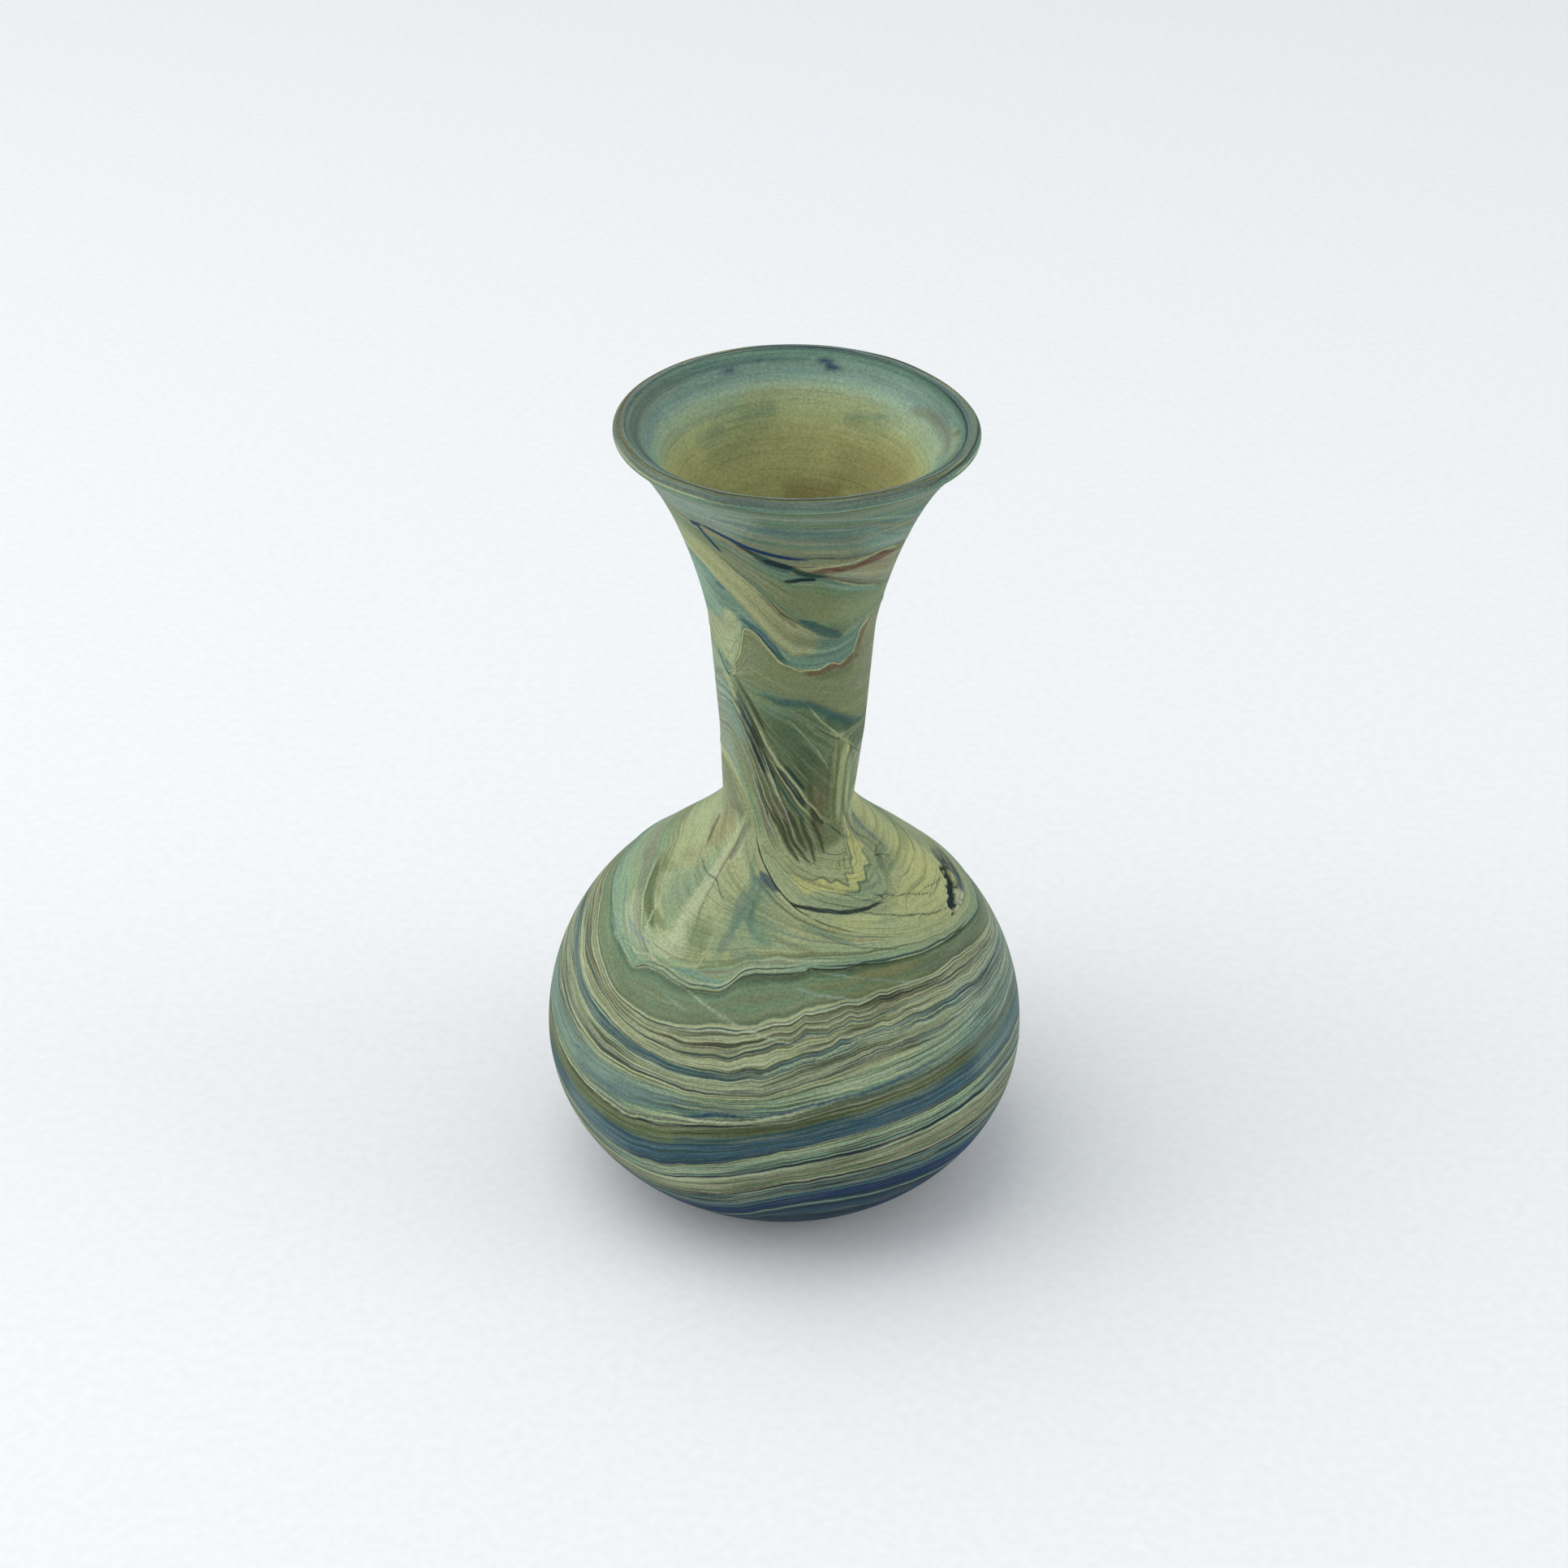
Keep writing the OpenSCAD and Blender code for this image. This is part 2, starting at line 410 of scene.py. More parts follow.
class Canvas:
    """The vertices of one piece's outside, and the colour and relief laid on them."""

    def __init__(self, angle, run, to_run=run_at):
        self.angle = wrapped(angle.ravel())
        self.run = run.ravel()
        self.to_run = to_run
        self.round_back = to_run is run_at
        self.per_degree = np.radians(1) * np.interp(self.run, RUN, OUT_R)
        self.spot = place(self.angle, self.run, np.zeros_like(self.run))
        # the outlines of threads and patches follow this, so that they are ragged
        self.rough = 0.6 * lattice_noise(self.spot, 1.1, 1) + 0.4 * lattice_noise(self.spot, 0.45, 2)
        self.paint = np.zeros((self.run.size, 3))
        self.cover = np.zeros(self.run.size)
        self.relief = np.zeros(self.run.size)
        self.lines = np.full(self.run.size, 0.5)
        # neighbouring lines of glass share the same small jogs, the largest of them near the front seam
        upright = self.spot * np.array([1, 1, 0.12])
        ragged_zone = ((self.spot[:, 2] - 51) / 8) ** 2 + ((self.angle - 10) / 36) ** 2
        jog = 0.07 + 0.4 * np.exp(-ragged_zone)
        shift = jog * (lattice_noise(upright, 3.2, 9) + 0.5 * lattice_noise(upright, 1.3, 10))
        self.angle = self.angle + 0.22 * lattice_noise(self.spot, 2.6, 3) / self.per_degree
        self.run = self.run + 0.15 * lattice_noise(self.spot, 2.6, 4) + shift

    def near(self, line, margin):
        """Indices of the vertices within margin mm of the box round a line."""
        low_angle, high_angle = line[:, 0].min(), line[:, 0].max()
        low_run, high_run = line[:, 1].min() - margin, line[:, 1].max() + margin
        centre = (low_angle + high_angle) / 2
        off = np.abs(wrapped(self.angle - centre)) * self.per_degree
        half = (high_angle - low_angle) / 2 * self.per_degree + margin
        return np.nonzero((off < half) & (self.run > low_run) & (self.run < high_run))[0]

    def distance(self, line, which):
        """Distance in mm from those vertices to a line, and how far along it, 0 to 1."""
        scale = self.per_degree[which]
        x = wrapped(self.angle[which] - line[0, 0]) * scale
        y = self.run[which]
        best = np.full(which.size, 1e9)
        along = np.zeros(which.size)
        steps = np.hypot(np.diff(line[:, 0]) * 0.35, np.diff(line[:, 1]))
        total = np.concatenate([[0], np.cumsum(steps)]) / max(steps.sum(), 1e-6)
        for i in range(len(line) - 1):
            ax = (line[i, 0] - line[0, 0]) * scale
            bx = (line[i + 1, 0] - line[0, 0]) * scale
            ay, by = line[i, 1], line[i + 1, 1]
            dx, dy = bx - ax, by - ay
            t = ((x - ax) * dx + (y - ay) * dy) / np.maximum(dx * dx + dy * dy, 1e-9)
            t = np.clip(t, 0, 1)
            d = np.hypot(x - ax - t * dx, y - ay - t * dy)
            closer = d < best
            best = np.where(closer, d, best)
            along = np.where(closer, total[i] + t * (total[i + 1] - total[i]), along)
        return best, along

    def lay(self, which, amount, tint):
        """Covers the vertices with a colour, by amount, over what lies there."""
        a = np.clip(amount, 0, 1)
        cover = self.cover[which]
        total = a + cover * (1 - a)
        mixed = self.paint[which] * (cover * (1 - a))[:, None] + tint * a[:, None]
        self.paint[which] = mixed / np.maximum(total, 1e-6)[:, None]
        self.cover[which] = total

    def thread(self, tint, width, soft, strength, points, raised=0.0, ragged=0.25, sharp=False):
        """A thread of glass along points of (angle, height): width and soft edge in mm.

        Its ends are drawn out thin, and its edge wanders by ragged times its width.
        """
        line = np.array(points, float) if sharp else smooth_line(points)
        line[:, 1] = self.to_run(line[:, 1])
        soft = CRISP * soft
        which = self.near(line, width + soft * 2 + 0.3)
        if which.size == 0:
            return
        d, along = self.distance(line, which)
        ends = np.clip(np.minimum(along, 1 - along) * 4, 0, 1) ** 0.5
        d = d + ragged * (0.3 * width + 0.08) * self.rough[which]
        edge = eased(np.clip((width / 2 * ends + soft / 2 - d) / max(soft, 0.05), 0, 1))
        amount = edge * strength * np.clip(ends * 1.6, 0, 1)
        self.lay(which, amount, GLASS[tint])
        self.lines[which] *= 1 - 0.8 * amount
        if raised:
            self.relief[which] += raised * edge

    def patch(self, tint, soft, strength, points, ragged=0.3):
        """A patch of glass inside a loop of (angle, height), with an edge soft mm wide."""
        which, edge = self.inside(soft, points, ragged)
        self.lay(which, edge * strength, GLASS[tint])

    def comb(self, amount, soft, points):
        """How strongly the fine lines show inside a loop: 0 for none, 1 for the most."""
        which, edge = self.inside(soft, points, 0.3)
        self.lines[which] += (amount - self.lines[which]) * edge

    def carried(self, points):
        """The same loop, but one that comes round from the front goes on behind the vase."""
        loop = np.array(list(points) + [points[0]], float)
        if self.round_back:
            for side in (-1, 1):
                off = loop[:, 0] * side
                if off.min() < FRONT:
                    loop[off > AT_SIDE, 0] = side * TAKEN_TO
        return loop

    def inside(self, soft, points, ragged):
        """The vertices near a loop, and how far each is inside it, from 0 to 1."""
        line = smooth_line(self.carried(points))
        line[:, 1] = self.to_run(line[:, 1])
        which = self.near(line, soft * 2)
        if which.size == 0:
            return which, np.zeros(0)
        d, _ = self.distance(line, which)
        x = wrapped(self.angle[which] - line[0, 0]) + line[0, 0]
        y = self.run[which]
        inside = np.zeros(which.size, bool)
        for (ax, ay), (bx, by) in zip(line[:-1], line[1:]):
            crosses = (ay > y) != (by > y)
            at = ax + (y - ay) * (bx - ax) / np.where(by == ay, 1e-9, by - ay)
            inside ^= crosses & (x < at)
        d = np.where(inside, d, -d) + ragged * 0.5 * self.rough[which]
        edge = eased(np.clip(0.5 + d / max(soft, 0.05), 0, 1))
        if self.round_back:
            left = FADED_AT - np.abs(self.angle[which]) + 8 * self.rough[which]
            edge = edge * np.clip(left / FADE_SPAN, 0, 1)
        return which, edge

    def fields(self, level, even):
        """What the material reads at each vertex."""
        streak = np.stack([self.spot[:, 0], self.spot[:, 1], even], 1)
        return {
            "strata": level[:, None],
            "paint": np.column_stack([self.paint, self.cover]),
            "streak": streak,
            "lines": self.lines[:, None],
        }


def with_hidden(fields, hidden, first=False):
    """The same fields, with zeros for the vertices that nobody sees."""
    out = {}
    for name, values in fields.items():
        blank = np.zeros((hidden, values.shape[1]))
        out[name] = np.concatenate([blank, values] if first else [values, blank])
    return out


# ---------------------------------------------------------------- bands of the belly

# Each row is one level of the bands, read round the front. Level 0 is the seam under the shoulder,
# these rows are levels 1 to 13 beside the foot, and 14 is the middle of the base.
BELLY_LEVELS = [
    [(-90, 55.2), (-80, 54), (-75, 53.2), (-70, 52.5), (-65, 51.8), (-60, 51), (-55, 50.2), (-50, 49.9),
        (-40, 49.7), (-35, 49.9), (-30, 50.3), (-28, 50.6), (-25, 51), (-22, 51.6), (-20, 51.9),
        (-15, 52.2), (-10, 52.3), (-8, 52.5), (-5, 53.4), (-3, 53.7), (0, 53.6), (3, 54.1), (6, 54.7),
        (10, 54.9), (20, 55.2), (30, 55.3), (40, 54.8), (45, 54.3), (60, 53.7), (70, 52.6), (80, 51.3),
        (90, 49.8)],
    [(-90, 53), (-80, 51.8), (-75, 50.8), (-70, 50.3), (-60, 49.2), (-50, 48), (-45, 47.5), (-40, 47.3),
        (-30, 47), (-20, 47.7), (-15, 48), (-12, 48.5), (-8, 49.5), (-5, 50.2), (-2, 50.8), (2, 50.7),
        (4, 51.4), (6, 52.1), (12, 51.9), (15, 52.2), (20, 52.8), (25, 52.5), (30, 52.8), (40, 52.5),
        (50, 52.1), (55, 51.5), (65, 51.1), (75, 50.2), (80, 49.5), (90, 48.2)],
    [(-90, 50.8), (-80, 49.6), (-75, 48.6), (-70, 47.7), (-65, 47.1), (-55, 46.5), (-50, 46.1), (-45, 45.5),
        (-40, 45.2), (-30, 44.8), (-20, 44.9), (-15, 45.2), (-10, 45.8), (-5, 46.4), (-3, 47.1), (0, 47.8),
        (3, 48.4), (10, 49.2), (13, 49.4), (15, 50.2), (20, 50.1), (25, 50.5), (28, 50.7), (30, 50.3),
        (35, 50.8), (40, 50.4), (50, 50), (55, 49.9), (60, 49.4), (63, 48.8), (75, 48.4), (80, 48.1),
        (90, 46.6)],
    [(-90, 47.6), (-80, 47), (-75, 46.2), (-70, 45.5), (-65, 44.8), (-60, 44.2), (-55, 43.9), (-45, 43.5),
        (-40, 43.2), (-30, 43), (-20, 43.3), (-15, 43.6), (-10, 44.2), (-5, 44.7), (0, 45.9), (5, 46.9),
        (10, 47.6), (15, 48), (20, 48.7), (30, 49), (40, 48.9), (50, 48.4), (60, 47.9), (65, 47.4),
        (75, 46.9), (80, 46.4), (90, 45.2)],
    [(-90, 45.2), (-80, 44.2), (-75, 43.6), (-70, 42.9), (-65, 42.3), (-60, 41.8), (-55, 41.3), (-50, 41),
        (-40, 41), (-30, 41.2), (-25, 40.9), (-20, 41), (-15, 41.5), (-5, 42.2), (0, 43.4), (5, 44.4),
        (10, 45), (15, 46), (20, 46.6), (25, 47), (33, 47.4), (40, 46.9), (50, 46.5), (60, 46.3),
        (75, 45.6), (90, 44.2)],
    [(-90, 39), (-80, 38), (-70, 37.2), (-62, 36.4), (-60, 36.9), (-50, 37.1), (-40, 37.9), (-30, 38.7),
        (-20, 39.3), (-10, 39.9), (0, 40.7), (10, 41.6), (20, 42.3), (30, 42.9), (45, 43.4), (60, 43.5),
        (75, 43), (90, 41.8)],
    [(-90, 35.7), (-80, 34.7), (-75, 34), (-70, 33.4), (-65, 32.9), (-60, 32.5), (-55, 32.1), (-45, 31.8),
        (-40, 31.6), (-38, 31.8), (-35, 32.3), (-30, 33.1), (-25, 34.1), (-20, 35), (-15, 35.7),
        (-10, 36.4), (-5, 37), (0, 37.4), (5, 38.1), (10, 39), (15, 39.4), (20, 39.6), (25, 40), (35, 40.1),
        (50, 40.5), (75, 40.6), (80, 40.4), (85, 39.9), (90, 39)],
    [(-90, 26.5), (-75, 25.5), (-60, 24), (-55, 23.2), (-50, 22.8), (-45, 22.6), (-37, 22.7), (-34, 23.5),
        (-30, 23.7), (-28, 24.4), (-25, 25.5), (-20, 26.6), (-15, 27.9), (-10, 29.3), (-5, 30.7), (0, 31.8),
        (5, 32.3), (10, 32.9), (15, 33.5), (20, 33.8), (30, 34), (60, 34.2), (75, 33.6), (90, 31.5)],
    [(-90, 23), (-75, 22), (-60, 21), (-50, 20.2), (-40, 20), (-35, 20.3), (-30, 21), (-25, 22.2),
        (-20, 23.6), (-15, 24.9), (-10, 26.3), (-5, 27.5), (0, 28.6), (5, 29.3), (10, 29.8), (20, 30.5),
        (30, 31), (50, 31.3), (65, 31), (75, 30), (90, 27)],
    [(-90, 17), (-75, 16), (-60, 15), (-45, 14.5), (-30, 15), (-20, 16.5), (-15, 17.7), (-10, 19.5),
        (-5, 21.2), (0, 22.6), (5, 23.1), (10, 23.6), (20, 24.1), (30, 24), (40, 23.6), (50, 23.2),
        (60, 22.5), (70, 20.8), (90, 18)],
    [(-90, 12), (-60, 11), (-40, 11), (-25, 11.5), (-15, 13.4), (-10, 15), (-5, 17.3), (0, 19), (5, 20.2),
        (10, 20.9), (20, 21), (30, 20.4), (40, 19.7), (50, 18.8), (60, 17.5), (90, 13.5)],
    [(-90, 9.5), (-60, 8.8), (-30, 9), (-15, 11), (-10, 13.3), (-5, 15.6), (0, 17.2), (5, 18.2), (10, 18.6),
        (20, 18.4), (30, 17.8), (40, 16.8), (50, 15.6), (60, 14), (90, 10.5)],
    [(-90, 4), (0, 4.5), (90, 4)],
]

# What glass lies at each level. Two colours at nearly the same level make a sharp edge. A ramp holds
# 32 colours at most, so the belly has six, and each starts where the last one ends.
UPPER_BANDS = [
    (0, "umber"), (0.05, "moss"), (0.14, "forest"), (0.3, "green"), (0.5, "olive"), (0.66, "green"),
    (0.82, "olive"), (0.92, "moss"), (0.96, "forest"), (1, "cream"), (1.07, "cream"), (1.1, "bark"),
    (1.14, "slate"), (1.17, "pale"), (1.21, "pale"), (1.25, "moss"), (1.32, "ochre"), (1.42, "olive"),
    (1.45, "moss"), (1.52, "ochre"), (1.56, "cream"), (1.6, "clay"), (1.69, "gold"), (1.73, "umber"),
    (1.78, "butter"), (1.86, "fawn"), (1.9, "moss"), (1.95, "ochre"), (1.99, "cream"), (2.08, "cream"),
]
MIDDLE_BANDS = [
    (2.08, "cream"), (2.11, "deep_teal"), (2.2, "slate"), (2.24, "bark"), (2.28, "cream"), (2.36, "butter"),
    (2.4, "olive"), (2.44, "cream"), (2.53, "butter"), (2.57, "moss"), (2.61, "cream"), (2.68, "tan"),
    (2.72, "butter"), (2.8, "pale"), (2.84, "moss"), (2.88, "cream"), (2.97, "butter"), (3, "bark"),
    (3.06, "deep_teal"), (3.2, "slate"), (3.3, "dusk_teal"), (3.42, "deep_teal"), (3.46, "slate"),
    (3.5, "leaf"), (3.58, "leaf"), (3.62, "deep_teal"), (3.75, "slate"), (3.9, "deep_teal"),
    (3.95, "cream"),
]
CENTRE_BANDS = [
    (3.95, "cream"), (4.04, "pale"), (4.08, "moss"), (4.13, "leaf"), (4.24, "tan"), (4.28, "moss"),
    (4.36, "butter"), (4.4, "moss"), (4.46, "olive"), (4.56, "tan"), (4.6, "butter"), (4.68, "clay"),
    (4.72, "plum"), (4.78, "slate"), (4.84, "umber"), (4.9, "plum"), (4.94, "olive"), (4.98, "bark"),
    (5.04, "plum"), (5.1, "olive"), (5.16, "cream"), (5.22, "ochre"), (5.26, "moss"), (5.34, "butter"),
    (5.45, "leaf"), (5.5, "moss"), (5.58, "leaf"), (5.66, "green"), (5.74, "leaf"), (5.82, "slate"),
    (5.9, "green"), (6, "leaf"),
]
LOWER_BANDS = [
    (6, "leaf"), (6.06, "green"), (6.2, "teal"), (6.28, "green"), (6.36, "slate"), (6.46, "teal"),
    (6.55, "green"), (6.62, "leaf"), (6.7, "olive"), (6.78, "teal"), (6.84, "tan"), (6.88, "moss"),
    (6.92, "leaf"), (6.95, "tan"), (6.98, "ink"), (7.01, "ink"), (7.04, "umber"), (7.12, "moss"),
    (7.18, "umber"), (7.24, "moss"), (7.28, "dusk_teal"), (7.38, "deep_teal"), (7.48, "dusk_blue"),
    (7.58, "steel"), (7.64, "dusk_teal"), (7.72, "steel"), (7.84, "dusk_blue"), (7.94, "dusk_blue"),
    (7.97, "bark"),
]
FINE_BANDS = [
    (7.97, "bark"), (8, "cream"), (8.06, "leaf"), (8.1, "deep_teal"), (8.15, "leaf"), (8.25, "teal"),
    (8.3, "leaf"), (8.36, "slate"), (8.4, "bark"), (8.45, "sea"), (8.52, "teal"), (8.56, "bark"),
    (8.61, "leaf"), (8.7, "teal"), (8.76, "deep_teal"), (8.82, "teal"), (8.88, "slate"), (8.93, "ink"),
    (9.03, "ink"), (9.06, "mist"), (9.11, "cream"), (9.15, "tan"), (9.21, "green"), (9.27, "fawn"),
    (9.33, "tan"), (9.38, "olive"), (9.45, "fawn"), (9.5, "green"), (9.55, "moss"), (9.62, "tan"),
]
LOWEST_BANDS = [
    (9.62, "tan"), (9.67, "fawn"), (9.7, "bark"), (9.73, "bark"), (9.76, "slate"), (9.83, "deep_teal"),
    (9.9, "slate"), (9.96, "dusk_teal"), (9.98, "night"), (10.06, "night"), (10.1, "deep_teal"),
    (10.3, "slate"), (10.45, "dusk"), (10.6, "steel"), (10.74, "deep"), (10.84, "navy"), (11, "deep_navy"),
    (11.25, "navy"), (11.5, "deep"), (11.7, "dusk"), (11.9, "dusk_teal"), (11.97, "mist"), (12, "teal"),
    (12.04, "deep"), (12.1, "dusk"), (12.2, "dusk_blue"), (12.3, "deep"), (12.5, "dusk"), (12.6, "deep"),
    (13, "deep"), (14, "deep"),
]
BELLY_BANDS = [UPPER_BANDS, MIDDLE_BANDS, CENTRE_BANDS, LOWER_BANDS, FINE_BANDS, LOWEST_BANDS]
# How strongly hair fine lines show at each level: hardly in the broad bands, strongly in the stacks.
BELLY_HAIRS = [(0, 0.15), (0.95, 0.15), (1.1, 1), (6.9, 1), (7.05, 0.35), (7.95, 0.35), (8, 0.9), (10, 0.9),
    (10.5, 0.15), (14, 0.1)]


def belly_strata(angle, run):
    """The level of the bands, and an even height in mm that keeps to the bands."""
    lines = [run_at(line_at(points, angle)) for points in BELLY_LEVELS]
    tops = np.stack([run_at(line_at(BELLY_SEAM, angle)) + 0.2, *lines, np.zeros_like(angle)])
    level = np.zeros_like(run)
    even = np.zeros_like(run)
    middle = tops.mean(axis=1)
    for i in range(len(tops) - 1):
        high, low = tops[i], tops[i + 1]
        inside = (run <= high) & (run > low)
        t = (high - run) / np.maximum(high - low, 0.05)
        level = np.where(inside, i + t, level)
        even = np.where(inside, middle[i] + t * (middle[i + 1] - middle[i]), even)
    return np.where(run <= 0, len(tops) - 1, level), even


def paint_belly(c):
    c.patch("moss", 1.2, 0.75, [(-95, 34.8), (-75, 33.2), (-60, 32.1), (-45, 31.4), (-38, 31.2),
        (-32, 31.8), (-27, 32.4), (-27, 30), (-34, 28.6), (-45, 28.2), (-60, 28.6), (-75, 30), (-95, 31.6)])
    c.thread("ink", 0.28, 0.15, 0.8, beside(BELLY_SEAM, -28, 81, 4, -0.12))
    c.thread("pale", 0.3, 0.2, 0.7, beside(BELLY_SEAM, -76, -27, 4, -0.1))
    # the broad dark band at the middle and right
    c.thread("slate", 1.1, 0.8, 0.6, [(6, 39.4), (15, 40.3), (25, 40.9), (35, 41), (50, 41.4), (66, 41.4)])
    c.thread("umber", 1.2, 0.6, 0.7, [(-2, 37.7), (6, 38.9), (15, 40.1), (25, 40.6), (35, 40.8),
        (60, 41.1)])
    c.patch("dusk_blue", 1.5, 0.35, [(0, 36.4), (20, 38), (40, 38.6), (60, 38.6), (60, 36.6), (40, 36),
        (20, 35.2), (0, 34)])
    # bluer low at the right
    c.patch("navy", 3, 0.3, [(25, 15), (50, 14.5), (92, 12), (92, 6), (50, 7), (25, 9)])
    c.patch("steel", 3, 0.25, [(50, 19), (80, 16.6), (92, 14), (60, 13), (48, 15)])
    c.patch("leaf", 1.2, 0.4, [(52, 45.6), (65, 45.3), (88, 44), (88, 42.6), (65, 43.6), (52, 43.8)])
    # fine threads that run with the bands
    c.thread("ink", 0.3, 0.2, 0.8, [(-25, 16), (-20, 18), (-15, 20.3), (-10, 22), (-5, 23.6), (0, 24.5),
        (10, 25.5), (20, 26), (30, 26), (50, 25.4)])
    c.thread("mist", 0.35, 0.3, 0.5, [(5, 14), (15, 14.6), (30, 13.5)])
    c.thread("cream", 0.3, 0.2, 0.85, [(-10, 45), (0, 46.6), (5, 47.5), (10, 48.1), (15, 48.6), (20, 49.6),
        (30, 49.7), (40, 49.9)])
    c.thread("pine", 0.45, 0.25, 0.85, [(20, 49.2), (40, 49.3), (50, 48.8), (60, 48.3), (70, 47.5),
        (80, 46.7), (90, 45.3)])
    c.thread("navy", 0.55, 0.3, 0.75, [(-36, 34.7), (-30, 35.4), (-25, 36), (-20, 36.8), (-17, 37.6),
        (-14, 38), (-10, 37.9), (-5, 38.5), (0, 39.2), (3, 39.8), (10, 40.7), (20, 41.4), (30, 42),
        (40, 42.4), (50, 42.7), (58, 42.6)])
    c.thread("navy", 0.9, 0.5, 0.6, [(-26, 35.9), (-20, 36.8), (-15, 37.7), (-9, 37.9)])
    c.thread("pale", 0.6, 0.3, 0.9, [(-30, 34.8), (-25, 35.5), (-20, 35.9), (-15, 36.4), (-9, 37.1),
        (-4, 38.1), (2, 39), (8, 40)])
    c.thread("pale", 0.5, 0.3, 0.8, [(-68, 33.5), (-60, 32.9), (-55, 32.5), (-48, 32.1), (-41, 31.9),
        (-38, 32.1), (-34, 33), (-28, 34)])
    c.thread("deep_teal", 0.15, 0.12, 0.8, [(-60, 35.7), (-58, 34.8), (-55, 33.9), (-52, 33.2), (-48, 32.8),
        (-44, 32.6), (-40, 32.4), (-36, 32.9), (-30, 33.8), (-24, 34.8)])
    c.thread("mist", 0.4, 0.4, 0.6, [(-62, 35.6), (-61.5, 36.4), (-59, 37), (-54, 36.8), (-49, 37.1),
        (-44, 37.4)])
    c.thread("plum", 0.9, 0.8, 0.6, [(-45, 37.4), (-36, 38), (-28, 38.1), (-18, 38.6), (-6, 39.4)])
    # pale strokes that cross the bands under the shoulder
    c.thread("pale", 0.42, 0.25, 0.8, [(-33, 55.6), (-31, 55.3), (-25, 54.4), (-20, 53.5), (-15, 52.7),
        (-11, 52), (-5, 51.3), (1, 50.4), (8, 49.6)])
    c.thread("mist", 0.4, 0.3, 0.6, [(-38, 53.6), (-33, 53), (-28, 52.2)])
    c.thread("mist", 0.4, 0.3, 0.75, [(2, 57.8), (5, 57.3), (10, 56.6), (15, 56), (21, 55.2), (28, 54.6)])
    c.thread("mist", 0.42, 0.3, 0.8, [(12, 59), (17, 58.6), (22, 58.1), (27, 57.3), (33, 56.3), (40, 55),
        (48, 54.2)])
    c.thread("mist", 0.35, 0.4, 0.55, [(45, 57.4), (51, 56.8), (56, 56), (61, 55), (68, 53.6)])
    c.thread("deep_teal", 0.2, 0.2, 0.5, [(44, 53.8), (48, 53), (52, 52), (56, 51.2)])
    # umber, moss, gold and plum under the seam
    c.thread("umber", 1.1, 1.4, 0.55, [(-18, 57.6), (-13, 58.2), (-6, 58.6), (2, 58.6), (9, 58.9)])
    c.thread("umber", 0.5, 0.6, 0.6, [(24, 58.9), (35, 58.1), (46, 57.2), (58, 56.3), (72, 55)])
    c.patch("moss", 2, 0.55, [(24, 58.6), (40, 57.8), (56, 56.4), (62, 55), (44, 55.4), (28, 56.2)])
    c.thread("gold", 1.2, 1.2, 0.5, [(20, 58), (30, 57.6), (40, 56.9), (50, 56)])
    c.thread("moss", 2.2, 2, 0.4, [(-62, 53.4), (-50, 51.6), (-40, 51), (-30, 51.4), (-22, 52.8)])
    c.patch("plum", 2, 0.45, [(44, 56.4), (60, 55.2), (75, 53.8), (95, 51), (95, 49.6), (75, 52.2),
        (60, 53.6), (48, 55)])
    c.patch("plum", 1, 0.5, [(30, 54.4), (45, 53.8), (60, 52.6), (75, 51.4), (75, 50.8), (60, 51.8),
        (45, 53), (30, 53.8)])
    c.patch("sea", 2.4, 0.4, [(36, 47.2), (50, 47), (66, 46.4), (92, 44), (92, 40.6), (66, 42.2),
        (50, 43.2), (38, 44.6)])
    c.patch("mist", 4, 0.14, [(0, 59), (30, 53.6), (100, 48), (100, 42), (0, 41.6), (-100, 42), (-100, 57)])
    # the left is bluer, and one wide slate band runs round it
    c.thread("dusk_teal", 1.5, 0.8, 0.8, [(-88, 49.8), (-75, 47.4), (-65, 45.9), (-55, 45.2), (-45, 44.4),
        (-35, 44), (-25, 43.9), (-15, 44.3), (-9, 44.9)])
    c.patch("steel", 1.4, 0.4, [(-84, 48), (-65, 45.4), (-45, 44), (-25, 43.5), (-18, 43.6), (-25, 44.4),
        (-45, 45), (-65, 46.6), (-84, 49)])
    c.patch("sky", 3, 0.5, [(-95, 43.5), (-80, 42.5), (-66, 41), (-54, 39.6), (-40, 39.4), (-24, 39.6),
        (-26, 37.4), (-36, 36), (-44, 33.6), (-56, 34), (-72, 35.6), (-95, 37)])
    c.patch("slate", 2, 0.5, [(-62, 37.6), (-50, 36.6), (-34, 37.4), (-28, 36.4), (-38, 34.2), (-46, 33.4),
        (-58, 34.4)])
    c.comb(0.45, 2, [(-95, 42), (-60, 40), (-40, 39), (-26, 38.6), (-34, 34), (-44, 33), (-60, 34),
        (-95, 36)])
    c.patch("sky", 5, 0.3, [(-62, 30), (-62, 22), (-45, 21), (-40, 24)])
    c.patch("sky", 6, 0.4, [(52, 52), (66, 50.6), (95, 48), (95, 28), (66, 27), (54, 36)])


# ---------------------------------------------------------------- shoulder

